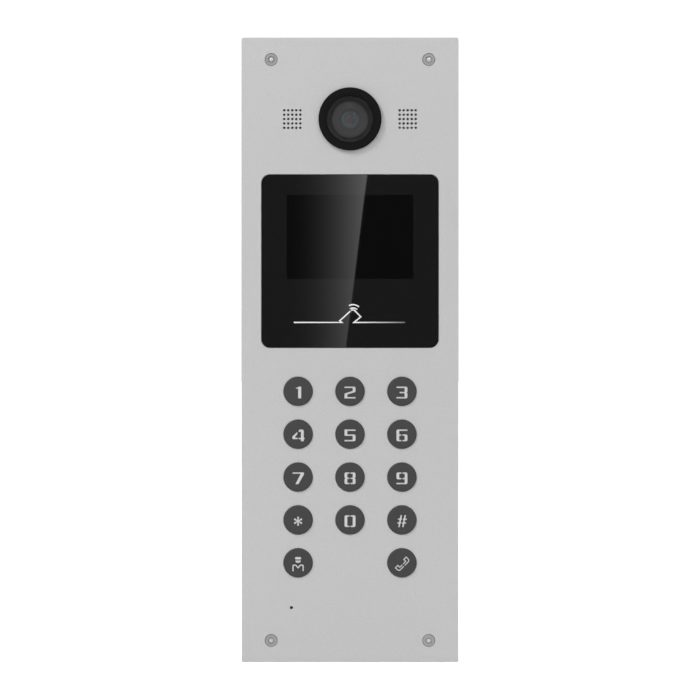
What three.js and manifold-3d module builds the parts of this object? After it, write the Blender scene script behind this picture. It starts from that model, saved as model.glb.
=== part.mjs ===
// A flush-mounted video door station: an aluminium front panel with a camera, two loudspeaker
// grilles, a display behind glass, a card reader, a fourteen-key keypad and a microphone, closed
// behind by a moulded housing with a wiring bay.
//
// Units are millimetres and +Z is up. X runs across the panel and +Y runs into the wall. The
// origin is the middle of the wall plane, where the foam gasket behind the panel meets the wall.
// Everything is built in a group whose own Y = 0 is the panel's rear face.

import * as THREE from "three";
import { mergeVertices } from "three/addons/utils/BufferGeometryUtils.js";
import Module from "manifold-3d";

const wasm = await Module();
wasm.setup();

// ---------------------------------------------------------------- driving dimensions

const GAP = 0.25; // clearance between pieces that meet face to face

const PANEL = { width: 140.5, height: 404.5, thickness: 4, corner: 1.25 };
const FRONT = -PANEL.thickness; // the panel's front face, from its rear face

const GASKET = { thickness: 1.5, margin: 1.75, width: 6.5 };

const SCREWS = { x: 51, z: 188, head: 4.15, sink: 4.4, shank: 1.95, hole: 2.25, length: 18 };

const DISPLAY = { width: 114.5, height: 112, z: 57.5, corner: 5.5, glass: 2, ledge: 1.75 };
const DISPLAY_OPENING = { width: 104, low: 7, high: 108, corner: 3 };
const LCD = { width: 92, height: 64, z: 73.25, front: -1.5, back: 2 };
const ANTENNA = { width: 80, height: 26, z: 24, front: -1.25, back: 0.25 };

const CAMERA = { z: 149.5, flange: 20.4, tube: 17, bore: 14.95, tubeEnd: 14, hole: 17.4 };

const GRILLE = { x: 37.35, z: 149.5, pitchX: 2.6, pitchZ: 2.83, rows: 5, hole: 0.8, cloth: 17 };
const SPEAKER = { radius: 14, magnet: 8, front: 1.5, back: 12 };

const MICROPHONE = { x: -37.9, z: -166.8, hole: 1, boot: 5, capsule: 3 };

const KEYPAD = {
  pitchX: 33.6,
  pitchZ: 27.75,
  topZ: -26.75,
  rows: [
    ["1", "2", "3"],
    ["4", "5", "6"],
    ["7", "8", "9"],
    ["star", "0", "hash"],
    ["concierge", null, "call"],
  ],
};
const KEY = { radius: 9.3, hole: 9.6, flange: 10.6, proud: 1, wall: 1.25, stemEnd: 2.75 };
const KEY_SIDES = 16; // sides of the polygons that stand for a key and its hole
const MAT = { width: 93, low: -152.5, high: -12.5, front: 4.75, back: 5.75, dome: 3.05 };
const KEY_BOARD = { front: 5.75, back: 7.25 };
const POSTS = { x: 16.8, radius: 2.5, betweenRows: [0.5, 3.5] };
const BRACKET_POSTS = { x: 40, low: 3, high: 111.5, radius: 2.75, height: 2.5 };

const HOUSING = { width: 116, height: 358, corner: 4, wall: 2.5, front: 1.25, back: 44 };
const COLUMNS = { x: 52.5, z: [173, -6, -173], radius: 4, bore: 1.75, head: 3.25, sink: 3 };
const BAY = { halfWidth: 46.5, top: -124.5, floor: 34, slotFoot: -150.5 };
const MAIN_BOARD = { halfWidth: 45, low: -168, high: 118, front: 24, back: 25.5 };
const BOARD_POSTS = { x: 38, z: [108, -90], radius: 3 };

const CONNECTOR_Z = -140; // middle of the connectors in the wiring bay
const SOCKET = { x: -30, size: 16, top: 40, mouth: 12 };
const TERMINALS = { pitch: 5.08, depth: 10, top: 37.5 };
const LOCK_TERMINAL = { x: 3.5, ways: 8 };
const POWER_TERMINAL = { x: 34.5, ways: 2 };

const TAMPER = { x: 30, z: 88, pin: 3, flange: 4.2, boss: 5.5, proud: 2.5, length: 16 };

// ---------------------------------------------------------------- shapes and solids

/** A rectangle with rounded corners, centred on (x, z), as a flat shape. */
function roundedRectangle(width, height, corner, x = 0, z = 0) {
  const [w, h] = [width / 2 - corner, height / 2 - corner];
  const shape = new THREE.Shape();
  shape.absarc(x + w, z + h, corner, 0, Math.PI / 2);
  shape.absarc(x - w, z + h, corner, Math.PI / 2, Math.PI);
  shape.absarc(x - w, z - h, corner, Math.PI, 1.5 * Math.PI);
  shape.absarc(x + w, z - h, corner, 1.5 * Math.PI, 2 * Math.PI);
  return shape;
}

/** A closed manifold-3d solid made from a geometry's triangles. */
function solid(geometry) {
  const bare = geometry.clone();
  bare.deleteAttribute("normal");
  bare.deleteAttribute("uv");
  const merged = mergeVertices(bare, 1e-4);
  return new wasm.Manifold(
    new wasm.Mesh({
      numProp: 3,
      vertProperties: merged.attributes.position.array,
      triVerts: new Uint32Array(merged.index.array),
    }),
  );
}

/** A flat shape given thickness, from y = front to y = back. */
function slab(shape, front, back) {
  const [depth, curveSegments] = [back - front, 2];
  const geometry = new THREE.ExtrudeGeometry(shape, { depth, bevelEnabled: false, curveSegments });
  return solid(geometry.rotateX(Math.PI / 2).translate(0, back, 0));
}

/** A block with corners at (x0, front, z0) and (x1, back, z1). */
function block(x0, x1, z0, z1, front, back) {
  const geometry = new THREE.BoxGeometry(x1 - x0, back - front, z1 - z0);
  return solid(geometry.translate((x0 + x1) / 2, (front + back) / 2, (z0 + z1) / 2));
}

/** A profile of [radius, y] points turned about the Y axis through (x, z). */
function turned(profile, segments, x = 0, z = 0) {
  const points = profile.map(([radius, y]) => new THREE.Vector2(radius, y));
  if (THREE.ShapeUtils.area(points) < 0) points.reverse();
  points.push(points[0]);
  return solid(new THREE.LatheGeometry(points, segments).translate(x, 0, z));
}

/** A round rod or hole from y = front to y = back. */
function rod(radius, front, back, segments, x = 0, z = 0) {
  const profile = [
    [0, front],
    [radius, front],
    [radius, back],
    [0, back],
  ];
  return turned(profile, segments, x, z);
}

/** The points of a spherical cap's profile, from its edge to its top on the axis. */
function capProfile(edge, edgeY, topY, steps) {
  const sagitta = topY - edgeY;
  const radius = (edge * edge + sagitta * sagitta) / (2 * Math.abs(sagitta));
  const centre = topY - Math.sign(sagitta) * radius;
  const half = Math.asin(edge / radius);
  return Array.from({ length: steps + 1 }, (_, step) => {
    const angle = half * (1 - step / steps);
    return [radius * Math.sin(angle), centre + Math.sign(sagitta) * radius * Math.cos(angle)];
  });
}

const join = (first, ...rest) => rest.reduce((whole, piece) => whole.add(piece), first);
const cut = (first, ...rest) => rest.reduce((whole, piece) => whole.subtract(piece), first);

/** A named mesh of a solid in a material. */
function piece(name, body, material) {
  const { numProp, vertProperties, triVerts } = body.getMesh();
  const positions = new Float32Array((vertProperties.length / numProp) * 3);
  for (let vertex = 0; vertex * numProp < vertProperties.length; vertex += 1)
    positions.set(vertProperties.subarray(vertex * numProp, vertex * numProp + 3), vertex * 3);
  const geometry = new THREE.BufferGeometry();
  geometry.setAttribute("position", new THREE.BufferAttribute(positions, 3));
  geometry.setIndex(new THREE.BufferAttribute(triVerts, 1));
  geometry.computeVertexNormals();
  const mesh = new THREE.Mesh(geometry, material);
  mesh.name = name;
  return mesh;
}

// ---------------------------------------------------------------- materials

const finish = (color, roughness, metalness = 0) =>
  new THREE.MeshStandardMaterial({ color, roughness, metalness });

const MATERIALS = {
  panelMetal: finish(0xc3c3c3, 0.5, 1),
  screwSteel: finish(0xa0a0a0, 0.35, 1),
  keyMetal: finish(0x494949, 0.4, 1),
  keyLight: finish(0xbdbdbd, 0.4),
  blackGlass: finish(0x191919, 0.05),
  lcdBlack: finish(0x0b0b0b, 0.1),
  cameraPlastic: finish(0x1b1b1b, 0.4),
  lensMetal: finish(0x424242, 0.35, 0.6),
  clearGlass: new THREE.MeshStandardMaterial({
    color: 0xe8eef0,
    roughness: 0.05,
    transparent: true,
    opacity: 0.35,
  }),
  lensGlass: finish(0x3a4048, 0.05),
  housingPlastic: finish(0x222222, 0.6),
  bracketPlastic: finish(0x3a3a3a, 0.6),
  foam: finish(0x1a1a1a, 0.95),
  silicone: finish(0x8c8c8c, 0.7),
  cloth: finish(0x303030, 0.9),
  speakerPaper: finish(0x202020, 0.8),
  boardGreen: finish(0x14532d, 0.45),
  socketSteel: finish(0xb8b8b8, 0.3, 1),
  terminalGreen: finish(0x2f8f4e, 0.5),
  capsuleSteel: finish(0xb0b0b0, 0.3, 1),
};

// ---------------------------------------------------------------- places

/** Every key's name and place. */
function keyPlaces() {
  return KEYPAD.rows.flatMap((row, rowIndex) =>
    row
      .map((name, column) => ({
        name,
        x: (column - 1) * KEYPAD.pitchX,
        z: KEYPAD.topZ - rowIndex * KEYPAD.pitchZ,
      }))
      .filter(({ name }) => name !== null),
  );
}

/** The four corners (+-x, +-z) of a rectangle. */
const corners = (x, z) => [
  [-x, z],
  [x, z],
  [-x, -z],
  [x, -z],
];

/** The places of the housing's screw columns. */
const columnPlaces = () => COLUMNS.z.flatMap((z) => [-1, 1].map((side) => [side * COLUMNS.x, z]));

/** The places of the posts that carry the keypad board, between its keys. */
const keyPostPlaces = () =>
  POSTS.betweenRows.flatMap((row) =>
    [-1, 1].map((side) => [side * POSTS.x, KEYPAD.topZ - row * KEYPAD.pitchZ]),
  );

/** The places of the short posts that carry the display's bracket. */
const bracketPostPlaces = () =>
  [BRACKET_POSTS.low, BRACKET_POSTS.high].flatMap((z) =>
    [-1, 1].map((side) => [side * BRACKET_POSTS.x, z]),
  );

// ---------------------------------------------------------------- front panel

/** One grille's holes through the panel, centred on (x, z). */
function grilleHoles(x, z) {
  const middle = (GRILLE.rows - 1) / 2;
  const holes = [];
  for (let row = 0; row < GRILLE.rows; row += 1)
    for (let column = 0; column < GRILLE.rows; column += 1)
      holes.push(
        rod(
          GRILLE.hole,
          FRONT - 1,
          1,
          6,
          x + (column - middle) * GRILLE.pitchX,
          z + (row - middle) * GRILLE.pitchZ,
        ),
      );
  return holes;
}

/** A countersunk hole for a panel screw. */
function countersink(x, z) {
  const depth = SCREWS.sink - SCREWS.hole;
  const profile = [
    [0, FRONT - 1],
    [SCREWS.sink, FRONT - 1],
    [SCREWS.sink, FRONT],
    [SCREWS.hole, FRONT + depth],
    [SCREWS.hole, 1],
    [0, 1],
  ];
  return turned(profile, 16, x, z);
}

function faceplate() {
  const { width, height, corner } = PANEL;
  const sheet = slab(roundedRectangle(width, height, corner), FRONT, 0);
  const posts = [
    ...keyPostPlaces().map(([x, z]) => rod(POSTS.radius, -1, KEY_BOARD.front - GAP, 10, x, z)),
    ...bracketPostPlaces().map(([x, z]) =>
      rod(BRACKET_POSTS.radius, -1, BRACKET_POSTS.height - GAP, 10, x, z),
    ),
    ...columnPlaces().map(([x, z]) => rod(COLUMNS.radius - 1, -1, 1, 10, x, z)),
  ];
  const pocket = slab(
    roundedRectangle(
      DISPLAY.width + 2 * GAP,
      DISPLAY.height + 2 * GAP,
      DISPLAY.corner + GAP,
      0,
      DISPLAY.z,
    ),
    FRONT - 1,
    -DISPLAY.ledge,
  );
  const { low, high } = DISPLAY_OPENING;
  const opening = slab(
    roundedRectangle(
      DISPLAY_OPENING.width,
      high - low,
      DISPLAY_OPENING.corner,
      0,
      (high + low) / 2,
    ),
    FRONT - 1,
    1,
  );
  return cut(
    join(sheet, ...posts),
    pocket,
    opening,
    rod(CAMERA.hole, FRONT - 1, 1, 32, 0, CAMERA.z),
    rod(MICROPHONE.hole, FRONT - 1, 1, 8, MICROPHONE.x, MICROPHONE.z),
    ...keyPlaces().map(({ x, z }) => rod(KEY.hole, FRONT - 1, 1, KEY_SIDES, x, z)),
    ...[-1, 1].flatMap((side) => grilleHoles(side * GRILLE.x, GRILLE.z)),
    ...corners(SCREWS.x, SCREWS.z).map(([x, z]) => countersink(x, z)),
  );
}

/** The foam ring between the panel's edge and the wall. */
function wallGasket() {
  const [width, height] = [PANEL.width - 2 * GASKET.margin, PANEL.height - 2 * GASKET.margin];
  const outer = slab(roundedRectangle(width, height, 1), 0, GASKET.thickness);
  const inner = slab(
    roundedRectangle(width - 2 * GASKET.width, height - 2 * GASKET.width, 1),
    -1,
    GASKET.thickness + 1,
  );
  return cut(outer, inner);
}

/** A countersunk security screw: a round socket with a pin standing in it. */
function panelScrew() {
  const front = FRONT + 0.125;
  const socket = { radius: 1.9, depth: 1.4, pin: 0.6 };
  const profile = [
    [0, front + 0.2],
    [socket.pin, front + 0.2],
    [socket.pin, front + socket.depth],
    [socket.radius, front + socket.depth],
    [socket.radius, front],
    [SCREWS.head, front],
    [SCREWS.shank, front + SCREWS.head - SCREWS.shank],
    [SCREWS.shank, FRONT + SCREWS.length - 0.75],
    [SCREWS.shank - 0.75, FRONT + SCREWS.length],
    [0, FRONT + SCREWS.length],
  ];
  return turned(profile, 12);
}

// ---------------------------------------------------------------- display and card reader

function displayGlass() {
  const outline = roundedRectangle(
    DISPLAY.width,
    DISPLAY.height,
    DISPLAY.corner,
    0,
    DISPLAY.z,
  );
  return slab(outline, FRONT, FRONT + DISPLAY.glass);
}

/** The display module: a metal tray with the panel's glass standing a little proud of it. */
function lcdPanel() {
  const { width, height, z, front, back } = LCD;
  const tray = block(-width / 2, width / 2, z - height / 2, z + height / 2, front + 0.5, back);
  const window = { width: 86, height: 58 };
  const glass = block(
    -window.width / 2,
    window.width / 2,
    z - window.height / 2,
    z + window.height / 2,
    front,
    front + 1,
  );
  return join(tray, glass);
}

/** The moulded frame that holds the display and the card reader's board to the panel. */
function lcdBracket() {
  const front = BRACKET_POSTS.height;
  const frame = block(-50, 50, -1, 115.5, front, front + 2);
  const windows = [
    [46, 100],
    [12, 36],
  ].map(([low, high]) => block(-38, 38, low, high, front - 1, front + 3));
  const ribs = [-42, 42].map((x) => block(x - 1, x + 1, 10, 102, front + 1.5, front + 5));
  return cut(join(frame, ...ribs), ...windows);
}

/** The card reader's antenna board, with its matching network standing on its rear. */
function antennaBoard() {
  const { width, height, z, front, back } = ANTENNA;
  const board = block(-width / 2, width / 2, z - height / 2, z + height / 2, front, back);
  const parts = [-6, 0, 6].map((x) => block(x - 1.5, x + 1.5, z - 1, z + 1, back - 0.5, back + 1));
  return join(board, ...parts);
}

// ---------------------------------------------------------------- camera

/** The black ring round the camera, with the tube that carries the whole camera behind it. */
function cameraBezel() {
  const front = FRONT - 3;
  const profile = [
    [15.75, front],
    [CAMERA.flange - 1, front],
    [CAMERA.flange, front + 1],
    [CAMERA.flange, FRONT - GAP],
    [CAMERA.tube, FRONT - GAP],
    [CAMERA.tube, CAMERA.tubeEnd],
    [CAMERA.bore, CAMERA.tubeEnd],
    [CAMERA.bore, FRONT - 0.5],
    [15.75, FRONT - 0.5],
  ];
  return turned(profile, 32);
}

/** The ring nut that clamps the bezel to the panel from behind. */
function cameraNut() {
  const ring = turned(
    [
      [CAMERA.tube + GAP, GAP],
      [20.5, GAP],
      [20.5, 4.25],
      [CAMERA.tube + GAP, 4.25],
    ],
    24,
  );
  const notches = [0, 1, 2, 3].map((turn) => {
    const angle = (turn * Math.PI) / 2;
    const notch = new THREE.BoxGeometry(4, 3, 4).translate(20.5, 4.25, 0).rotateY(angle);
    return solid(notch);
  });
  return cut(ring, ...notches);
}

/** The clear window in the bezel, slightly domed on both faces. */
function cameraWindow() {
  const rear = FRONT - 0.75;
  const outside = capProfile(15.45, rear - 1.5, rear - 2, 3);
  const inside = capProfile(14, rear, rear - 0.5, 3);
  return turned([...outside, ...inside.reverse(), [15.45, rear]], 24);
}

/** The funnel that hides the inside of the camera's tube. */
function cameraShroud() {
  const profile = [
    [14.65, FRONT],
    [14.4, FRONT],
    [11.6, 0],
    [11.6, 0.4],
    [14.65, 0.4],
  ];
  return turned(profile, 24);
}

/** The lens barrel, with a stepped front face, a thread at its rear and a bore for the glass. */
function lensBarrel() {
  const profile = [
    [7.1, 2.5],
    [7.1, 0.75],
    [12.75, 0.75],
    [12.75, 2.5],
    [9, 2.5],
    [9, 5.25],
    [6, 5.25],
    [6, 12],
    [4, 12],
    [4, 5],
    [5.5, 5],
    [5.5, 2.5],
  ];
  return turned(profile, 20);
}

function frontLens() {
  const front = capProfile(6.8, 2, 0.5, 3);
  return turned([...front, [0, 4.5], [5.2, 4.5], [5.2, 2.25], [6.8, 2.25]], 16);
}

/** The camera's board, with the lens holder and the sensor on its front. */
function cameraBoard() {
  const front = CAMERA.tubeEnd + GAP;
  const board = block(-17, 17, -17, 17, front, front + 1.5);
  const holder = cut(
    block(-9, 9, -9, 9, 5.75, front + 0.5),
    rod(6.25, 5, front - 0.5, 20),
  );
  const sensor = block(-3.5, 3.5, -3.5, 3.5, front - 1, front);
  const connector = block(-8, 8, -14, -10, front + 1, front + 4);
  return join(board, holder, sensor, connector);
}

// ---------------------------------------------------------------- sound

/** A small round loudspeaker: flange, dished cone, basket and magnet in one. */
function speaker() {
  const { radius, magnet, front, back } = SPEAKER;
  const profile = [
    [0, front + 2],
    [4, front + 2.5],
    [12, front],
    [radius, front],
    [radius, front + 1.75],
    [12, front + 1.75],
    [magnet + 1, 7.5],
    [magnet, 7.5],
    [magnet, back],
    [0, back],
  ];
  return turned(profile, 18);
}

function speakerMesh() {
  const half = GRILLE.cloth / 2;
  return block(-half, half, -half, half, GAP, 0.75);
}

/** The rubber boot that seals the microphone to its hole in the panel. */
function micBoot() {
  const profile = [
    [MICROPHONE.hole, GAP],
    [MICROPHONE.boot, GAP],
    [MICROPHONE.boot, 6.5],
    [MICROPHONE.capsule + GAP, 6.5],
    [MICROPHONE.capsule + GAP, 1.75],
    [MICROPHONE.hole, 1.75],
  ];
  return turned(profile, 14);
}

// ---------------------------------------------------------------- keypad

/** A key's metal cap: a flanged cup that stands through the panel from behind. */
function keyCap() {
  const front = FRONT - KEY.proud;
  const pocket = KEY.radius - 1.5;
  const profile = [
    [0, front],
    [KEY.radius - 0.4, front],
    [KEY.radius, front + 0.4],
    [KEY.radius, GAP],
    [KEY.flange, GAP],
    [KEY.flange, 1.5],
    [pocket, 1.5],
    [pocket, front + KEY.wall],
    [0, front + KEY.wall],
  ];
  return turned(profile, KEY_SIDES);
}

/** The clear plug inside a cap, which lights its sign and ends in the stem that presses the mat. */
function keyLight() {
  const front = FRONT - KEY.proud + KEY.wall + GAP;
  const plug = KEY.radius - 1.5 - GAP;
  const profile = [
    [0, front],
    [plug, front],
    [plug, 0.75],
    [3, 0.75],
    [3, KEY.stemEnd],
    [0, KEY.stemEnd],
  ];
  return turned(profile, 12);
}

/** The silicone mat, with a dome under each key and a hole round each post. */
function keypadMat() {
  const sheet = block(-MAT.width / 2, MAT.width / 2, MAT.low, MAT.high, MAT.front, MAT.back);
  const domes = keyPlaces().map(({ x, z }) =>
    turned(
      [
        [0, MAT.dome],
        [3, MAT.dome],
        [4.75, MAT.front + 0.25],
        [0, MAT.front + 0.25],
      ],
      10,
      x,
      z,
    ),
  );
  const holes = keyPostPlaces().map(([x, z]) =>
    rod(POSTS.radius + GAP, MAT.front - 1, MAT.back + 1, 10, x, z),
  );
  return cut(join(sheet, ...domes), ...holes);
}

/** The keypad's board, with its connector and driver on the rear. */
function keypadBoard() {
  const { front, back } = KEY_BOARD;
  const board = block(-MAT.width / 2, MAT.width / 2, MAT.low, MAT.high, front, back);
  const connector = block(-12, 12, -96, -90, back - 0.5, back + 5);
  const driver = block(-6, 6, -74, -62, back - 0.5, back + 1.75);
  const screwHoles = keyPostPlaces().map(([x, z]) => rod(1.4, front - 1, back + 1, 8, x, z));
  return cut(join(board, connector, driver), ...screwHoles);
}

// ---------------------------------------------------------------- electronics

/** The main board, with its larger components and its spacers on the rear. */
function mainBoard() {
  const { halfWidth, low, high, front, back } = MAIN_BOARD;
  const board = block(-halfWidth, halfWidth, low, high, front, back);
  const root = back - 0.5;
  const boxes = [
    { x: -14, z: 40, width: 30, height: 30, top: 31 }, // processor under its heat sink
    { x: 16, z: 48, width: 12, height: 14, top: 27 }, // memory
    { x: 16, z: 30, width: 12, height: 14, top: 27 }, // memory
    { x: TAMPER.x, z: TAMPER.z, width: 6, height: 6, top: 27.5 }, // tamper switch
    { x: 0, z: -74, width: 19, height: 15, top: 39 }, // door-lock relay
    { x: 24, z: -74, width: 19, height: 15, top: 39 }, // second relay
    { x: -28, z: -78, width: 18, height: 16, top: 34 }, // network transformer
    { x: -26, z: 4, width: 14, height: 14, top: 31 }, // power inductor
  ];
  const cans = [
    { x: 30, z: -30, radius: 5, top: 38 },
    { x: 18, z: -30, radius: 5, top: 38 },
    { x: 6, z: -30, radius: 3.5, top: 34 },
  ];
  const spacers = BOARD_POSTS.z.flatMap((z) =>
    [-1, 1].map((side) => ({
      x: side * BOARD_POSTS.x,
      z,
      radius: BOARD_POSTS.radius,
      top: HOUSING.back - HOUSING.wall - GAP,
    })),
  );
  return join(
    board,
    ...boxes.map(({ x, z, width, height, top }) =>
      block(x - width / 2, x + width / 2, z - height / 2, z + height / 2, root, top),
    ),
    ...[...cans, ...spacers].map(({ x, z, radius, top }) => rod(radius, root, top, 12, x, z)),
  );
}

/** The network socket, standing on the main board with its mouth to the rear. */
function networkSocket() {
  const { size, top, mouth } = SOCKET;
  const body = block(-size / 2, size / 2, -size / 2, size / 2, MAIN_BOARD.back, top);
  const cavity = block(-mouth / 2, mouth / 2, -5.5, 3, 28.5, top + 1);
  const latch = block(-3, 3, 2.5, 5.5, 31, top + 1);
  return cut(body, cavity, latch);
}

/** A row of screw terminals: screws to the rear, wire entries at the bottom. */
function terminalBlock(ways) {
  const { pitch, depth, top } = TERMINALS;
  const half = (ways * pitch) / 2;
  const foot = MAIN_BOARD.back;
  const section = new THREE.Shape();
  section.moveTo(foot, -depth / 2);
  section.lineTo(top - 3, -depth / 2);
  section.lineTo(top, -depth / 2 + 2);
  section.lineTo(top, depth / 2 - 1);
  section.lineTo(top - 1, depth / 2);
  section.lineTo(foot, depth / 2);
  const extruded = new THREE.ExtrudeGeometry(section, { depth: 2 * half, bevelEnabled: false });
  // The section's own x is the row's Y, its own y is the row's Z, and it runs along X.
  const along = new THREE.Matrix4().makeBasis(
    new THREE.Vector3(0, 1, 0),
    new THREE.Vector3(0, 0, 1),
    new THREE.Vector3(1, 0, 0),
  );
  const body = solid(extruded.applyMatrix4(along).translate(-half, 0, 0));
  const cuts = [];
  for (let way = 0; way < ways; way += 1) {
    const x = (way + 0.5) * pitch - half;
    cuts.push(rod(1.8, top - 2.5, top + 1, 8, x, 0.5));
    cuts.push(block(x - 1.5, x + 1.5, -depth / 2 - 1, -depth / 2 + 4, foot + 2.5, foot + 5.5));
  }
  return cut(body, ...cuts);
}

// ---------------------------------------------------------------- housing

/** The seal between the panel and the housing's rim. */
function housingSeal() {
  const [width, height] = [HOUSING.width - 0.5, HOUSING.height - 0.5];
  const outer = slab(roundedRectangle(width, height, HOUSING.corner), 0, HOUSING.front - GAP);
  const inner = slab(roundedRectangle(width - 4, height - 4, HOUSING.corner - 2), -1, 2);
  return cut(outer, inner);
}

/** The moulded rear shell, with its screw columns, tamper guide and wiring bay. */
function rearHousing() {
  const { width, height, corner, wall, front, back } = HOUSING;
  const inside = back - wall;
  const shell = cut(
    slab(roundedRectangle(width, height, corner), front, back),
    slab(roundedRectangle(width - 2 * wall, height - 2 * wall, corner - wall), 0, inside),
  );
  const bayWalls = block(
    -BAY.halfWidth - wall,
    BAY.halfWidth + wall,
    -height / 2 + 1,
    BAY.top + wall,
    BAY.floor - wall,
    back - 1,
  );
  const columns = columnPlaces().map(([x, z]) => rod(COLUMNS.radius, front, back - 1, 12, x, z));
  const tamperGuide = rod(TAMPER.boss, 36, inside + 1, 14, TAMPER.x, TAMPER.z);
  const bay = block(-BAY.halfWidth, BAY.halfWidth, -height / 2 - 1, BAY.top, BAY.floor, back + 1);
  const connectorSlot = block(
    -BAY.halfWidth,
    BAY.halfWidth,
    BAY.slotFoot,
    BAY.top,
    BAY.floor - wall - 1,
    BAY.floor + 1,
  );
  return cut(
    join(shell, bayWalls, ...columns, tamperGuide),
    bay,
    connectorSlot,
    ...columnPlaces().flatMap(([x, z]) => [
      rod(COLUMNS.bore, front - 1, back, 8, x, z),
      rod(COLUMNS.head, back - COLUMNS.sink, back + 1, 12, x, z),
    ]),
    rod(TAMPER.pin + GAP, 35, back + 1, 14, TAMPER.x, TAMPER.z),
  );
}

/** The sprung pin that feels the back of the wall box, with the flange that keeps it in. */
function tamperPlunger() {
  const tip = HOUSING.back + TAMPER.proud;
  const foot = tip - TAMPER.length;
  const profile = [
    [0, foot],
    [TAMPER.pin, foot],
    [TAMPER.pin, 34.25],
    [TAMPER.flange, 34.25],
    [TAMPER.flange, 35.75],
    [TAMPER.pin, 35.75],
    [TAMPER.pin, tip - 0.75],
    [TAMPER.pin - 0.75, tip],
    [0, tip],
  ];
  return turned(profile, 14);
}

// ---------------------------------------------------------------- assembly

/** A group of meshes at one place across and up the panel. */
function at(x, z, ...meshes) {
  const group = new THREE.Group();
  group.position.set(x, 0, z);
  group.add(...meshes);
  return group;
}

const M = MATERIALS;
const station = new THREE.Group();
station.position.y = -GASKET.thickness;

station.add(
  piece("faceplate", faceplate(), M.panelMetal),
  piece("wall_gasket", wallGasket(), M.foam),
  piece("display_glass", displayGlass(), M.blackGlass),
  piece("lcd_panel", lcdPanel(), M.lcdBlack),
  piece("lcd_bracket", lcdBracket(), M.bracketPlastic),
  piece("card_antenna_board", antennaBoard(), M.boardGreen),
  piece("keypad_mat", keypadMat(), M.silicone),
  piece("keypad_board", keypadBoard(), M.boardGreen),
  piece("main_board", mainBoard(), M.boardGreen),
  piece("housing_seal", housingSeal(), M.foam),
  piece("rear_housing", rearHousing(), M.housingPlastic),
  piece("tamper_plunger", tamperPlunger().translate([TAMPER.x, 0, TAMPER.z]), M.housingPlastic),
);

station.add(
  at(
    0,
    CAMERA.z,
    piece("camera_bezel", cameraBezel(), M.cameraPlastic),
    piece("camera_nut", cameraNut(), M.cameraPlastic),
    piece("camera_window", cameraWindow(), M.clearGlass),
    piece("camera_shroud", cameraShroud(), M.cameraPlastic),
    piece("lens_barrel", lensBarrel(), M.lensMetal),
    piece("front_lens", frontLens(), M.lensGlass),
    piece("camera_board", cameraBoard(), M.boardGreen),
  ),
  at(
    MICROPHONE.x,
    MICROPHONE.z,
    piece("mic_boot", micBoot(), M.foam),
    piece("mic_capsule", rod(MICROPHONE.capsule, 2, 6, 14), M.capsuleSteel),
  ),
  at(SOCKET.x, CONNECTOR_Z, piece("network_socket", networkSocket(), M.socketSteel)),
  at(
    LOCK_TERMINAL.x,
    CONNECTOR_Z,
    piece("lock_terminal", terminalBlock(LOCK_TERMINAL.ways), M.terminalGreen),
  ),
  at(
    POWER_TERMINAL.x,
    CONNECTOR_Z,
    piece("power_terminal", terminalBlock(POWER_TERMINAL.ways), M.terminalGreen),
  ),
);

for (const [side, name] of [
  [-1, "left"],
  [1, "right"],
])
  station.add(
    at(
      side * GRILLE.x,
      GRILLE.z,
      piece(`speaker_${name}`, speaker(), M.speakerPaper),
      piece(`speaker_mesh_${name}`, speakerMesh(), M.cloth),
    ),
  );

for (const { name, x, z } of keyPlaces())
  station.add(
    at(
      x,
      z,
      piece(`key_${name}_cap`, keyCap(), M.keyMetal),
      piece(`key_${name}_light`, keyLight(), M.keyLight),
    ),
  );

corners(SCREWS.x, SCREWS.z).forEach(([x, z], index) =>
  station.add(at(x, z, piece(`panel_screw_${index + 1}`, panelScrew(), M.screwSteel))),
);

const part = new THREE.Group();
part.add(station);

export default part;
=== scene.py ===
"""The fine shape and finish of a flush video door station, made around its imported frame.

The station is an aluminium panel with a camera, two loudspeaker grilles, a dark display behind
glass, a card reader, a fourteen-key pad and a microphone, closed behind by a moulded housing.
Sizes are millimetres until a mesh is finished, when they become metres. X runs across the
panel, +Y runs into the wall and +Z is up, and the wall's plane is Y = 0.
"""

import logging
import math
import random
from dataclasses import dataclass, field
from enum import Enum
from typing import Iterable, Sequence

import bmesh
import bpy
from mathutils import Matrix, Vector


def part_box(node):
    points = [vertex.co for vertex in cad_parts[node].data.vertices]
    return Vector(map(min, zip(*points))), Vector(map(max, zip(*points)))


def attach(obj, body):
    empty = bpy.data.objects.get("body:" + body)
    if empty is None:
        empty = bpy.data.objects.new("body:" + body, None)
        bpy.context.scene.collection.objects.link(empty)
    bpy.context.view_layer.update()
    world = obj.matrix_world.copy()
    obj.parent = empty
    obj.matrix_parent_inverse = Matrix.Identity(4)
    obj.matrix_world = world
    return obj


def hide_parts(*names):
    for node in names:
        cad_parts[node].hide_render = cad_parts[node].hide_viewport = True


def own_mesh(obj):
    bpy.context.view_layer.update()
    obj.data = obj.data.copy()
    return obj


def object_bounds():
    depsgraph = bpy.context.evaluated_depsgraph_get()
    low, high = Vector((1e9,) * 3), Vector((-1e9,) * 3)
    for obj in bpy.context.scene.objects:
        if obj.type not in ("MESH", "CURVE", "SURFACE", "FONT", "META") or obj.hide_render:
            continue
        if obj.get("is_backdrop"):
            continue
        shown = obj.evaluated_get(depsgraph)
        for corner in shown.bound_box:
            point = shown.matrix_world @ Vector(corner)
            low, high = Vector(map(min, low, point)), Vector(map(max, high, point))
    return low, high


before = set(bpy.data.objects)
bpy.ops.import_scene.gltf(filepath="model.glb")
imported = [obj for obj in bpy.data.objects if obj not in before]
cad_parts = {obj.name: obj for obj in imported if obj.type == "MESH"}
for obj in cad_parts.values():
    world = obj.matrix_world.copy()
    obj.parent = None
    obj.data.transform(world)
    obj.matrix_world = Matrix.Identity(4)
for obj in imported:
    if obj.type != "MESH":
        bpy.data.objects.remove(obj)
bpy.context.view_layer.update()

LOG = logging.getLogger("door_station")
MM = 0.001
STATION = "station"

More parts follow.
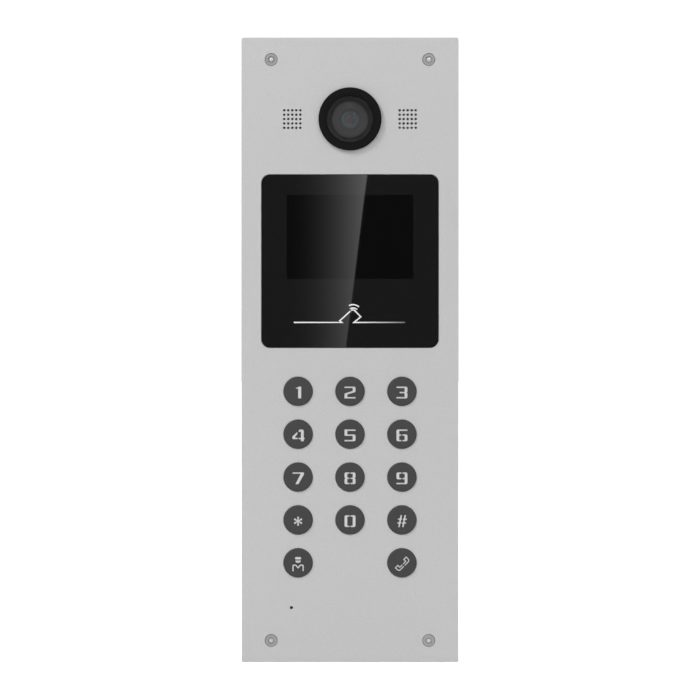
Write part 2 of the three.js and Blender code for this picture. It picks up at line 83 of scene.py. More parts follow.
# The housing is screwed to the panel by six columns: their distance from the middle, how far
# the outer ones stand in from its ends, and the height of the ones between.
COLUMN_X = 52.5
COLUMN_INSET = 6.0
COLUMN_MIDDLE = -6.0

Point = tuple[float, float]
Profile = Sequence[tuple[float, float]]
Ring = list[bmesh.types.BMVert]
Piece = bpy.types.Object
Tree = bpy.types.NodeTree
Node = bpy.types.Node
Socket = bpy.types.NodeSocket


# ---- small helpers


def linear(colour: str) -> tuple[float, float, float, float]:
    """Turn an sRGB hex colour into a linear colour.

    Args:
        colour: Six hex digits after a hash sign.

    Returns:
        Linear red, green and blue, and an alpha of one.
    """
    channels = [int(colour[place : place + 2], 16) / 255 for place in (1, 3, 5)]
    parts = [c / 12.92 if c <= 0.04045 else ((c + 0.055) / 1.055) ** 2.4 for c in channels]
    return (parts[0], parts[1], parts[2], 1.0)


def add_node(tree: Tree, kind: str, inputs: dict | None = None, **settings: object) -> Node:
    """Add a node to a tree, with its settings, its values and its links.

    Args:
        tree: The node tree, of a material, a world or a geometry modifier.
        kind: The node's type name.
        inputs: Values or other nodes' output sockets, by input name or index.
        settings: Attributes of the node.

    Returns:
        The new node.
    """
    node = tree.nodes.new(kind)
    for name, value in settings.items():
        setattr(node, name, value)
    for key, value in (inputs or {}).items():
        if isinstance(value, Socket):
            tree.links.new(value, node.inputs[key])
        else:
            node.inputs[key].default_value = value
    return node


def blank_material(name: str) -> tuple[bpy.types.Material, Tree]:
    """Make a material whose tree is empty, and give both.

    Args:
        name: The material's name.

    Returns:
        The material and its tree.
    """
    material = bpy.data.materials.new(name)
    material.use_nodes = True
    material.node_tree.nodes.clear()
    return material, material.node_tree


def in_scene(name: str, data: bpy.types.ID) -> Piece:
    """Put new data into the scene as an object, and give it.

    Args:
        name: The object's name.
        data: Its mesh, camera or light.

    Returns:
        The new object.
    """
    thing = bpy.data.objects.new(name, data)
    bpy.context.scene.collection.objects.link(thing)
    return thing


@dataclass(frozen=True)
class Place:
    """Where a CAD node stands, in millimetres."""

    low: Vector
    high: Vector

    @classmethod
    def of(cls, node: str) -> "Place":
        """Read a node's box from the frame."""
        low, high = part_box(node)
        return cls(low / MM, high / MM)

    @property
    def centre(self) -> Vector:
        """The middle of the box."""
        return (self.low + self.high) / 2

    @property
    def size(self) -> Vector:
        """The box's three sides."""
        return self.high - self.low

    @property
    def axis(self) -> Point:
        """Where a Y axis through the middle crosses the panel."""
        return (self.centre.x, self.centre.z)

    def outline(self, corner: float, steps: int = 8) -> "RoundedRectangle":
        """Give the box's outline on the panel, with round corners."""
        return RoundedRectangle(*self.axis, self.size.x, self.size.z, corner, steps)


# ---- outlines


@dataclass(frozen=True)
class Circle:
    """A round outline on the panel."""

    x: float
    z: float
    radius: float
    sides: int = 64

    def points(self, grow: float = 0.0) -> list[Point]:
        """Give the outline's points, moved outwards by grow.

        Args:
            grow: How far the outline moves outwards.

        Returns:
            Points in order round it.
        """
        radius = self.radius + grow
        turns = [2 * math.pi * side / self.sides for side in range(self.sides)]
        return [(self.x + radius * math.cos(a), self.z + radius * math.sin(a)) for a in turns]


@dataclass(frozen=True)
class Lobes:
    """The six-lobed outline of a security screw's socket."""

    x: float
    z: float
    radius: float
    depth: float
    sides: int = 48

    def points(self, grow: float = 0.0) -> list[Point]:
        """Give the outline's points, moved outwards by grow.

        Args:
            grow: How far the outline moves outwards.

        Returns:
            Points in order round it.
        """
        found = []
        for side in range(self.sides):
            angle = 2 * math.pi * side / self.sides
            reach = self.radius + grow - self.depth * (1 - math.cos(6 * angle)) / 2
            found.append((self.x + reach * math.cos(angle), self.z + reach * math.sin(angle)))
        return found


@dataclass(frozen=True)
class RoundedRectangle:
    """A rectangular outline with round corners."""

    x: float
    z: float
    width: float
    height: float
    corner: float
    steps: int = 8

    def points(self, grow: float = 0.0) -> list[Point]:
        """Give the outline's points, moved outwards by grow.

        Args:
            grow: How far the outline moves outwards.

        Returns:
            Points in order round it.
        """
        corner = max(self.corner + grow, 1e-3)
        across = self.width / 2 + grow - corner
        up = self.height / 2 + grow - corner
        found = []
        for quarter, (side, rise) in enumerate([(1, 1), (-1, 1), (-1, -1), (1, -1)]):
            for step in range(self.steps + 1):
                angle = math.pi / 2 * (quarter + step / self.steps)
                found.append((self.x + side * across + corner * math.cos(angle),
                              self.z + rise * up + corner * math.sin(angle)))
        return found


@dataclass(frozen=True)
class Cornered:
    """An outline of straight sides with each corner rounded by its own radius."""

    corners: tuple[tuple[float, float, float], ...]
    steps: int = 5

    def points(self, grow: float = 0.0) -> list[Point]:
        """Give the outline's points, each moved outwards by grow along its corner's mean.

        Args:
            grow: How far the outline moves outwards.

        Returns:
            Points in order round it.
        """
        found: list[Point] = []
        count = len(self.corners)
        for index, (x, z, radius) in enumerate(self.corners):
            here = Vector((x, z))
            before = Vector(self.corners[index - 1][:2]) - here
            after = Vector(self.corners[(index + 1) % count][:2]) - here
            half = before.angle(after) / 2
            reach = min(radius / math.tan(half), before.length * 0.49, after.length * 0.49)
            if radius < 1e-3 or half > 1.56:
                found.append((x, z))
                continue
            start = here + before.normalized() * reach
            end = here + after.normalized() * reach
            for step in range(self.steps + 1):
                share = step / self.steps
                bend = start * (1 - share) ** 2 + here * 2 * share * (1 - share) + end * share**2
                found.append((bend.x, bend.y))
        return moved_out(found, grow) if grow else found


Outline = Circle | Lobes | RoundedRectangle | Cornered


def moved_out(points: list[Point], grow: float) -> list[Point]:
    """Move every point of a closed outline outwards.

    Args:
        points: The outline.
        grow: How far each side moves, negative to shrink the outline.

    Returns:
        As many points as came in.
    """
    count = len(points)
    area = sum(points[i - 1][0] * points[i][1] - points[i][0] * points[i - 1][1]
               for i in range(count))
    turn = 1 if area > 0 else -1
    found = []
    for index, (x, z) in enumerate(points):
        ahead = Vector(points[(index + 1) % count]) - Vector((x, z))
        behind = Vector((x, z)) - Vector(points[index - 1])
        sides = [Vector((side.y, -side.x)).normalized() for side in (ahead, behind)]
        normal = (sides[0] + sides[1]).normalized() * turn * grow
        found.append((x + normal.x, z + normal.y))
    return found


def placed(points: Iterable[Point], x: float, z: float, turn: float = 0.0,
           slant: float = 0.0) -> list[Point]:
    """Turn, slant and move points on the panel.

    Args:
        points: Points about their own origin.
        x: Where the origin goes across the panel.
        z: Where the origin goes up the panel.
        turn: Degrees anticlockwise.
        slant: Degrees that upright lines lean to the right.

    Returns:
        The moved points.
    """
    cosine, sine = math.cos(math.radians(turn)), math.sin(math.radians(turn))
    lean = math.tan(math.radians(slant))
    leaned = [(px + lean * pz, pz) for px, pz in points]
    return [(x + px * cosine - pz * sine, z + px * sine + pz * cosine) for px, pz in leaned]


def arc_through(first: Point, middle: Point, last: Point, steps: int = 8) -> list[Point]:
    """Give points on the circle through three points, from the first to the last.

    Args:
        first: Where the arc starts.
        middle: A point that it passes.
        last: Where it ends.
        steps: Parts of the arc.

    Returns:
        The arc's points.
    """
    (ax, az), (bx, bz), (cx, cz) = first, middle, last
    twice = 2 * (ax * (bz - cz) + bx * (cz - az) + cx * (az - bz))
    squares = [x * x + z * z for x, z in (first, middle, last)]
    x = (squares[0] * (bz - cz) + squares[1] * (cz - az) + squares[2] * (az - bz)) / twice
    z = (squares[0] * (cx - bx) + squares[1] * (ax - cx) + squares[2] * (bx - ax)) / twice
    start, end = math.atan2(az - z, ax - x), math.atan2(cz - z, cx - x)
    radius = math.hypot(ax - x, az - z)
    angles = [start + (end - start) * step / steps for step in range(steps + 1)]
    return [(x + radius * math.cos(a), z + radius * math.sin(a)) for a in angles]


def rounded_step(radius: float, y: float, edge: float, outward: int, steps: int = 4) -> Profile:
    """Give a profile's rounded front edge, from the front face back to the side.

    Args:
        radius: The side's radius.
        y: The front face.
        edge: The rounding's radius.
        outward: 1 where the solid lies inside the radius, -1 where it lies outside.
        steps: Parts of the rounding.

    Returns:
        Pairs of radius and y.
    """
    angles = [math.pi / 2 * step / steps for step in range(steps + 1)]
    return [(radius - outward * edge * (1 - math.sin(a)), y + edge * (1 - math.cos(a)))
            for a in angles]


def dome(edge: float, edge_y: float, top_y: float, steps: int = 10) -> Profile:
    """Give the profile of a shallow dome, from its edge to its top on the axis.

    Args:
        edge: The dome's radius at its edge.
        edge_y: Where its edge lies.
        top_y: Where its top lies.
        steps: Parts of the curve.

    Returns:
        Pairs of radius and y.
    """
    rise = top_y - edge_y
    ball = (edge**2 + rise**2) / (2 * abs(rise))
    centre = top_y - math.copysign(ball, rise)
    half = math.asin(edge / ball)
    angles = [half * (1 - step / steps) for step in range(steps + 1)]
    return [(ball * math.sin(a), centre + math.copysign(ball, rise) * math.cos(a)) for a in angles]


# ---- finishes


class Grain(Enum):
    """How a surface was made, which decides the pattern in it."""

    BLASTED = "blasted with fine beads"
    MOULDED = "moulded against a spark-eroded tool"
    BRUSHED = "brushed along X"
    WOVEN = "woven"
    CELLULAR = "foamed"
    SMOOTH = "polished"


@dataclass(frozen=True)
class Finish:
    """What a surface is made of and how it was made.

    colour is sRGB. grain_mm is the size of the pattern's grains and depth_mm how deep they are.
    shade and polish say how much the pattern changes the colour and the roughness.
    """

    name: str
    colour: str
    roughness: float
    metallic: float = 0.0
    ior: float = 1.5
    grain: Grain = Grain.SMOOTH
    grain_mm: float = 0.5
    depth_mm: float = 0.0
    shade: float = 0.0
    polish: float = 0.0
    coat: float = 0.0
    coat_roughness: float = 0.05
    specular: float = 0.5

    def material(self) -> bpy.types.Material:
        """Give the finish's material, which is made once."""
        known = bpy.data.materials.get(self.name)
        return known or self.make()

    def make(self) -> bpy.types.Material:
        """Build the material from nodes.

        Returns:
            The new material.
        """
        material, tree = blank_material(self.name)
        shader = add_node(tree, "ShaderNodeBsdfPrincipled", {
            "Base Color": linear(self.colour), "Roughness": self.roughness, "Metallic": self.metallic,
            "IOR": self.ior, "Specular IOR Level": self.specular, "Coat Weight": self.coat,
            "Coat Roughness": self.coat_roughness,
        })
        add_node(tree, "ShaderNodeOutputMaterial", {"Surface": shader.outputs["BSDF"]})
        self.dress(tree, shader)
        return material

    def dress(self, tree: Tree, shader: Node) -> None:
        """Give the surface its grain, in height, colour and roughness.

        Args:
            tree: The material's tree.
            shader: Its surface shader.
        """
        coordinates = add_node(tree, "ShaderNodeTexCoord").outputs["Object"]
        height = self.pattern(tree, coordinates)
        cloud = add_node(tree, "ShaderNodeTexNoise", {
            "Vector": coordinates, "Scale": 1 / (40 * self.grain_mm * MM), "Detail": 4.0})
        if self.shade:
            share = add_node(tree, "ShaderNodeMapRange", {
                "Value": height, "To Min": 1 - self.shade, "To Max": 1 + self.shade})
            self.tint_by(share, tree, shader)
        if self.polish:
            rough = add_node(tree, "ShaderNodeMapRange", {
                "Value": cloud.outputs["Fac"], "From Min": 0.3, "From Max": 0.7,
                "To Min": self.roughness - self.polish, "To Max": self.roughness + self.polish})
            tree.links.new(rough.outputs["Result"], shader.inputs["Roughness"])
        if self.depth_mm:
            bump = add_node(tree, "ShaderNodeBump", {
                "Height": height, "Distance": self.depth_mm * MM, "Strength": 1.0})
            tree.links.new(bump.outputs["Normal"], shader.inputs["Normal"])

    def tint_by(self, share: Node, tree: Tree, shader: Node) -> None:
        """Scale the colour by a share that varies over the surface."""
        tint = add_node(tree, "ShaderNodeVectorMath", {
            0: linear(self.colour)[:3], "Scale": share.outputs["Result"]}, operation="SCALE")
        tree.links.new(tint.outputs["Vector"], shader.inputs["Base Color"])

    def pattern(self, tree: Tree, coordinates: Socket) -> Socket:
        """Build the grain's pattern.

        Args:
            tree: The material's tree.
            coordinates: Object coordinates, in metres.

        Returns:
            A height between nought and one.
        """
        scale = 1 / (self.grain_mm * MM)
        if self.grain is Grain.MOULDED:
            cells = add_node(tree, "ShaderNodeTexVoronoi", {
                "Vector": coordinates, "Scale": scale, "Smoothness": 0.6}, feature="SMOOTH_F1")
            return cells.outputs["Distance"]
        if self.grain is Grain.CELLULAR:
            cells = add_node(tree, "ShaderNodeTexVoronoi", {
                "Vector": coordinates, "Scale": scale, "Randomness": 0.9})
            return cells.outputs["Distance"]
        if self.grain is Grain.BRUSHED:
            stretched = add_node(tree, "ShaderNodeMapping", {
                "Vector": coordinates, "Scale": (0.03, 1.0, 1.0)})
            lines = add_node(tree, "ShaderNodeTexNoise", {
                "Vector": stretched.outputs["Vector"], "Scale": scale, "Detail": 3.0})
            return lines.outputs["Fac"]
        if self.grain is Grain.WOVEN:
            across, up = (
                add_node(tree, "ShaderNodeTexWave", {
                    "Vector": coordinates, "Scale": scale / 20, "Distortion": 0.4,
                    "Detail": 1.0}, bands_direction=way).outputs["Fac"]
                for way in ("X", "Z"))
            return add_node(tree, "ShaderNodeMath", {0: across, 1: up}, operation="MAXIMUM").outputs[0]
        grains = add_node(tree, "ShaderNodeTexNoise", {
            "Vector": coordinates, "Scale": scale, "Detail": 3.0, "Roughness": 0.6})
        return grains.outputs["Fac"]


@dataclass(frozen=True)
class FadingInk(Finish):
    """Ink whose colour fades along X, from one place to another in millimetres."""

    fade_from: float = 3.0
    fade_to: float = 36.0
    faded: float = 0.16

    def dress(self, tree: Tree, shader: Node) -> None:
        """Give the ink its fading colour.

        Args:
            tree: The material's tree.
            shader: Its surface shader.
        """
        super().dress(tree, shader)
        place = add_node(tree, "ShaderNodeTexCoord").outputs["Object"]
        across = add_node(tree, "ShaderNodeSeparateXYZ", {0: place}).outputs["X"]
        share = add_node(tree, "ShaderNodeMapRange", {
            "Value": across, "From Min": self.fade_from * MM, "From Max": self.fade_to * MM,
            "To Min": 1.0, "To Max": self.faded})
        self.tint_by(share, tree, shader)


@dataclass(frozen=True)
class ClearPane(Finish):
    """Thin clear glass or polycarbonate, which mirrors a little and lets the rest through."""

    tint: str = "#FFFFFF"

    def make(self) -> bpy.types.Material:
        """Build the material from a mirror and a clear shader, shared by Fresnel's law.

        Returns:
            The new material.
        """
        material, tree = blank_material(self.name)
        clear = add_node(tree, "ShaderNodeBsdfTransparent", {"Color": linear(self.tint)})
        mirror = add_node(tree, "ShaderNodeBsdfGlossy", {
            "Color": linear(self.colour), "Roughness": self.roughness})
        share = add_node(tree, "ShaderNodeFresnel", {"IOR": self.ior})
        mixed = add_node(tree, "ShaderNodeMixShader", {
            0: share.outputs["Fac"], 1: clear.outputs["BSDF"], 2: mirror.outputs["BSDF"]})
        add_node(tree, "ShaderNodeOutputMaterial", {"Surface": mixed.outputs["Shader"]})
        return material


# Anodised aluminium, blasted with fine beads: an even pale grey with a soft sheen, partly
# diffuse through its oxide, and a grain that only shows close up. The beads' dents are about
# 0.1 mm and are drawn 0.7 mm to show.
PANEL_ALUMINIUM = Finish("bead_blasted_anodised_aluminium", "#D5D5D5", 0.42, metallic=0.6,
                         grain=Grain.BLASTED, grain_mm=0.7, depth_mm=0.012, shade=0.16)
# Stainless steel, turned and passivated: a cool grey, faintly brushed.
SCREW_STEEL = Finish("turned_stainless_steel", "#C0C0BE", 0.42, metallic=1.0,
                     grain=Grain.BRUSHED, grain_mm=0.12, depth_mm=0.003, polish=0.03)
# The screw's pin: steel painted lighter than the head, a painted highlight where the pin catches the
# light.
PIN_HIGHLIGHT_STEEL = Finish("bright_worn_steel", "#F2F2F0", 0.35, metallic=1.0,
                   grain=Grain.BLASTED, grain_mm=0.15, depth_mm=0.001, shade=0.02)
# Zinc casting under a dark satin paint: deep grey, nearly flat, with a faint sheen.
KEY_METAL = Finish("satin_painted_zinc_casting", "#3D3D3D", 0.45, metallic=0.2,
                   grain=Grain.BLASTED, grain_mm=0.3, depth_mm=0.004, shade=0.04, polish=0.04)
# Diffusing polycarbonate: milky, light grey when its lamp is off.
KEY_LIGHT = Finish("diffusing_polycarbonate", "#CCCCCC", 0.35, ior=1.58,
                   grain=Grain.BLASTED, grain_mm=0.6, depth_mm=0.002, shade=0.02)
# Toughened glass printed black behind: a deep black under a hard clear gloss.
PRINTED_GLASS = Finish("black_printed_toughened_glass", "#171717", 0.5, grain=Grain.BLASTED,
                       grain_mm=1.5, shade=0.03, coat=1.0, coat_roughness=0.01, specular=0.0)
# The same glass with no print, over a display that is off: blacker still.
DISPLAY_OFF = Finish("unlit_display_behind_glass", "#080808", 0.5, grain=Grain.BLASTED, grain_mm=0.2,
                     shade=0.02, coat=1.0, coat_roughness=0.01, specular=0.0)
# Screen-printing ink: opaque off-white, printed as ever finer dots towards the right, so that
# it fades there.
FADING_INK = FadingInk("faded_white_screen_ink", "#EDEDED", 0.45, grain_mm=0.3,
                       depth_mm=0.002, shade=0.02)
# Polycarbonate moulded with a fine texture, near black.
BEZEL_PLASTIC = Finish("textured_black_polycarbonate", "#111111", 0.6, ior=1.58, grain=Grain.MOULDED,
                       grain_mm=0.35, depth_mm=0.006, shade=0.04, polish=0.05, specular=0.06)
# The funnel round the lens: dark grey with a slight sheen.
SHROUD_PLASTIC = Finish("satin_grey_polycarbonate", "#4C4C4C", 0.5, ior=1.58, grain=Grain.MOULDED,
                        grain_mm=0.4, depth_mm=0.004, shade=0.04, specular=0.25)
# Aluminium, turned and anodised: dark grey and dull, with a fine grain.
LENS_METAL = Finish("dark_anodised_aluminium", "#595959", 0.45, metallic=0.3,
                    grain=Grain.BLASTED, grain_mm=0.25, depth_mm=0.003, shade=0.05, polish=0.04)
# Optical glass with a violet anti-reflection coating, which colours what little it mirrors.
COATED_GLASS = ClearPane("violet_coated_optical_glass", "#A08CE8", 0.03, ior=1.25)
# The cell round the iris: turned aluminium, anodised a cool mid grey.
CELL_METAL = Finish("grey_anodised_aluminium", "#6F7872", 0.5, metallic=0.15,
                    grain=Grain.BLASTED, grain_mm=0.2, depth_mm=0.002, shade=0.05)
# The small rear element: grey glass, its warm tint a painted reflection of the lamps' orange glints in
# it.
REAR_GLASS = Finish("warm_coated_rear_element", "#68645E", 0.3, ior=1.52, grain_mm=0.5, shade=0.04)
# The camera's window: polycarbonate with a hard clear coat, and the border printed on it.
WINDOW_PRINT = Finish("black_printed_border", "#131313", 0.5, specular=0.1)
CAMERA_WINDOW = ClearPane("clear_hard_coated_polycarbonate", "#FFFFFF", 0.02, ior=1.35)
# ABS moulded against a spark-eroded tool: charcoal, matt, evenly pebbled.
HOUSING_ABS = Finish("spark_textured_abs", "#262627", 0.6, ior=1.54, grain=Grain.MOULDED,
                     grain_mm=0.55, depth_mm=0.03, shade=0.07, polish=0.05)
# The same plastic off a plain tool, for the brackets and pins inside.
INNER_ABS = Finish("plain_moulded_abs", "#3A3A3B", 0.5, ior=1.54, grain=Grain.MOULDED,
                   grain_mm=0.9, depth_mm=0.01, shade=0.05, polish=0.05)
# Closed-cell foam rubber: black, dull, finely pitted.
FOAM_RUBBER = Finish("closed_cell_foam_rubber", "#1B1B1B", 0.9, grain=Grain.CELLULAR,
                     grain_mm=0.5, depth_mm=0.12, shade=0.25)
# Moulded silicone rubber: grey, soft and slightly dusty.
SILICONE = Finish("moulded_silicone_rubber", "#8E8E8E", 0.65, ior=1.43, grain=Grain.MOULDED,
                  grain_mm=0.6, depth_mm=0.01, shade=0.04, polish=0.06)
# Acoustic cloth: an even mid grey, its fine weave drawn coarser than it is, to show.
ACOUSTIC_CLOTH = Finish("woven_acoustic_cloth", "#848484", 0.85, grain=Grain.WOVEN,
                        grain_mm=0.4, depth_mm=0.02, shade=0.12)
# A loudspeaker's pressed paper cone and its lacquered basket: both a dull near black.
SPEAKER_PAPER = Finish("pressed_paper_and_steel", "#2A2A2A", 0.7, grain=Grain.MOULDED,
                       grain_mm=0.8, depth_mm=0.02, shade=0.12)
# Glass-epoxy board under green solder mask: glossy, with the weave faint below it.
BOARD = Finish("green_solder_mask", "#145431", 0.35, ior=1.55, grain=Grain.WOVEN,
               grain_mm=0.6, depth_mm=0.006, shade=0.12, coat=0.3)
# Moulded epoxy, as on a circuit's body: near black and dull.
CHIP = Finish("moulded_epoxy", "#1E1E20", 0.5, grain=Grain.BLASTED, grain_mm=0.2,
              depth_mm=0.004, shade=0.08)
# Steel plated with nickel or zinc, and contacts plated with gold: bright, lightly brushed.
PLATED_STEEL = Finish("nickel_plated_steel", "#B9B8B2", 0.28, metallic=1.0,
                      grain=Grain.BRUSHED, grain_mm=0.15, depth_mm=0.004, polish=0.05)
ZINC_STEEL = Finish("zinc_plated_steel", "#B4B6B8", 0.35, metallic=1.0,
                    grain=Grain.BRUSHED, grain_mm=0.1, depth_mm=0.004, polish=0.06)
GOLD_CONTACT = Finish("gold_plated_contact", "#D8A845", 0.25, metallic=1.0,
                      grain=Grain.BRUSHED, grain_mm=0.1, depth_mm=0.002)
# Polyamide, moulded green, as terminal blocks are.
TERMINAL_PLASTIC = Finish("moulded_green_polyamide", "#2C7D4A", 0.45, ior=1.53,
                          grain=Grain.MOULDED, grain_mm=0.4, depth_mm=0.008, shade=0.05)
# Polyester film with a satin silver face, as rating labels are.
LABEL_FILM = Finish("satin_polyester_label", "#C9CBCC", 0.4, metallic=0.6,
                    grain=Grain.BRUSHED, grain_mm=0.2, depth_mm=0.001, shade=0.02)


# ---- building meshes


class Shell:
    """A closed mesh built up from rings and flat faces, in millimetres."""

    def __init__(self) -> None:
        """Start with nothing."""
        self.mesh = bmesh.new()

    def ring(self, points: Iterable[Point], y: float) -> Ring:
        """Add a closed ring of vertices at one y."""
        return [self.mesh.verts.new((x, y, z)) for x, z in points]

    def wall(self, first: Ring, second: Ring, slot: int = 0) -> None:
        """Join two rings, either of which may be a single vertex, with faces.

        Args:
            first: The ring that the faces start from.
            second: The ring that they end at.
            slot: Their material.
        """
        count = max(len(first), len(second))
        for index in range(count if count > 1 else 0):
            after = (index + 1) % count
            corners = [first[index % len(first)], first[after % len(first)],
                       second[after % len(second)], second[index % len(second)]]
            kept = list(dict.fromkeys(corners))
            self.mesh.faces.new(kept).material_index = slot

    def face(self, outer: Ring, holes: Sequence[Ring] = (), slot: int = 0) -> None:
        """Fill the flat area inside a ring, leaving out the rings in it.

        Args:
            outer: The ring round the face.
            holes: The rings left out of it.
            slot: Its material.
        """
        edges = []
        for loop in (outer, *holes):
            for index, vertex in enumerate(loop):
                ends = (vertex, loop[(index + 1) % len(loop)])
                edges.append(self.mesh.edges.get(ends) or self.mesh.edges.new(ends))
        made = bmesh.ops.triangle_fill(self.mesh, edges=edges, use_beauty=True,
                                       normal=(0.0, -1.0, 0.0))
        for part in made["geom"]:
            if isinstance(part, bmesh.types.BMFace):
                part.material_index = slot

    def loft(self, levels: Sequence[tuple[Iterable[Point], float]], slot: int = 0) -> list[Ring]:
        """Add rings with walls between them.

        Args:
            levels: Outlines with as many points each, and the y that each lies at.
            slot: The walls' material.

        Returns:
            The rings, first to last.
        """
        rings = [self.ring(points, y) for points, y in levels]
        for first, second in zip(rings, rings[1:]):
            self.wall(first, second, slot)
        return rings

    def sink(self, outline: Outline, levels: Profile, slot: int = 0) -> list[Ring]:
        """Add rings of one outline, grown by each level's amount at its y."""
        return self.loft([(outline.points(grow), y) for grow, y in levels], slot)

    def prism(self, outline: Outline, levels: Profile, slot: int = 0) -> None:
        """Add one outline's rings, as sink does, and close both ends.

        Args:
            outline: The outline.
            levels: How far the outline grows, and the y that it grows at.
            slot: The material.
        """
        rings = self.sink(outline, levels, slot)
        self.face(rings[0], slot=slot)
        self.face(rings[-1], slot=slot)

    def turn(self, profile: Profile, x: float = 0.0, z: float = 0.0, sides: int = 64,
             closed: bool = False, slot: int = 0) -> None:
        """Turn a profile about the Y axis through (x, z).

        Args:
            profile: Pairs of radius and y, starting and ending on the axis unless closed.
            x: The axis's place across the panel.
            z: The axis's place up the panel.
            sides: Sides of each ring.
            closed: Whether the last pair joins the first.
            slot: The surface's material.
        """
        rings = []
        for radius, y in profile:
            on_axis = radius < 1e-6
            points = [(x, z)] if on_axis else Circle(x, z, radius, sides).points()
            rings.append(self.ring(points, y))
        pairs = list(zip(rings, rings[1:]))
        if closed:
            pairs.append((rings[-1], rings[0]))
        for first, second in pairs:
            self.wall(first, second, slot)

    def block(self, low: Sequence[float], high: Sequence[float], edge: float = 0.0,
              slot: int = 0) -> None:
        """Add a box between two corners, its front and rear edges bevelled by edge.

        Args:
            low: The box's lowest x, y and z.
            high: Its highest x, y and z.
            edge: The bevel's width.
            slot: The material.
        """
        outline = RoundedRectangle((low[0] + high[0]) / 2, (low[2] + high[2]) / 2,
                                   high[0] - low[0], high[2] - low[2], max(edge, 0.02), 2)
        near, far = low[1], high[1]
        self.prism(outline, [(-edge, near), (0.0, near + edge), (0.0, far - edge),
                             (-edge, far)] if edge else [(0.0, near), (0.0, far)], slot)

    def finish(self, name: str, *finishes: Finish, smooth: float = 32.0) -> Piece:
        """Turn the shell into an object in metres.

        Args:
            name: The object's name.
            finishes: One for each material slot.
            smooth: Edges sharper than this many degrees stay sharp.

        Returns:
            The new object, at the origin.
        """
        bmesh.ops.remove_doubles(self.mesh, verts=self.mesh.verts, dist=1e-4)
        bmesh.ops.recalc_face_normals(self.mesh, faces=self.mesh.faces)
        bmesh.ops.scale(self.mesh, vec=(MM, MM, MM), verts=self.mesh.verts)
        data = bpy.data.meshes.new(name)
        self.mesh.to_mesh(data)
        self.mesh.free()
        for finish in finishes:
            data.materials.append(finish.material())
        return linked(name, data, smooth)


def linked(name: str, data: bpy.types.Mesh, smooth: float = 32.0) -> Piece:
    """Put a mesh into the scene, its flat faces shaded flat and its round ones smooth.

    Args:
        name: The object's name.
        data: The mesh.
        smooth: Edges sharper than this many degrees stay sharp.

    Returns:
        The new object.
    """
    data.shade_smooth()
    data.set_sharp_from_angle(angle=math.radians(smooth))
    piece = in_scene(name, data)
    weighted = piece.modifiers.new("weighted", "WEIGHTED_NORMAL")
    weighted.weight = 100
    weighted.keep_sharp = True
    piece.data = plain_mesh(piece, name)
    piece.modifiers.clear()
    return piece


def plain_mesh(piece: Piece, name: str) -> bpy.types.Mesh:
    """Make a plain mesh of what an object's modifiers make of it.

    Args:
        piece: The object.
        name: The mesh's name.

    Returns:
        The mesh.
    """
    graph = bpy.context.evaluated_depsgraph_get()
    data = bpy.data.meshes.new_from_object(piece.evaluated_get(graph))
    data.name = name
    return data


def evaluated(piece: Piece, name: str, smooth: float = 32.0) -> Piece:
    """Replace an object and its modifiers by the plain mesh that they make.

    Args:
        piece: An object with modifiers.
        name: The new object's name.
        smooth: Edges sharper than this many degrees stay sharp.

    Returns:
        The new object, without modifiers.
    """
    data = plain_mesh(piece, name)
    bpy.data.objects.remove(piece)
    known = data.attributes.get("custom_normal")
    if known:
        data.attributes.remove(known)
    return linked(name, data, smooth)


def solid(name: str, outline: Outline, levels: Profile, finish: Finish = HOUSING_ABS) -> Piece:
    """Make one solid of an outline that grows by each level's amount at its y.

    Args:
        name: The object's name.
        outline: The outline.
        levels: How far the outline grows, and the y that it grows at.
        finish: Its finish.

    Returns:
        The solid.
    """
    shell = Shell()
    shell.prism(outline, levels)
    return shell.finish(name, finish)


def turned(name: str, profile: Profile, axis: Point, sides: int, finish: Finish,
           closed: bool = False) -> Piece:
    """Make one solid by turning a profile about the Y axis through a place on the panel.

    Args:
        name: The object's name.
        profile: Pairs of radius and y.
        axis: Where the axis crosses the panel.
        sides: Sides of each ring.
        finish: Its finish.
        closed: Whether the last pair joins the first.

    Returns:
        The solid.
    """
    shell = Shell()
    shell.turn(profile, *axis, sides, closed)
    return shell.finish(name, finish)


class Join(Enum):
    """What a boolean does with its tool."""

    ADD = "UNION"
    CUT = "DIFFERENCE"


def shaped(piece: Piece, steps: Sequence[tuple[Join, Piece]], name: str) -> Piece:
    """Add tools to a solid and cut tools from it, in order.

    Args:
        piece: The solid.
        steps: What to do with each tool. The tools are used up.
        name: The result's name.

    Returns:
        The resulting solid.
    """
    for number, (way, tool) in enumerate(steps):
        modifier = piece.modifiers.new(f"step_{number}", "BOOLEAN")
        modifier.operation = way.value
        modifier.solver = "EXACT"
        modifier.object = tool
    result = evaluated(piece, name)
    for _, tool in steps:
        bpy.data.objects.remove(tool)
    return result


# ---- geometry nodes


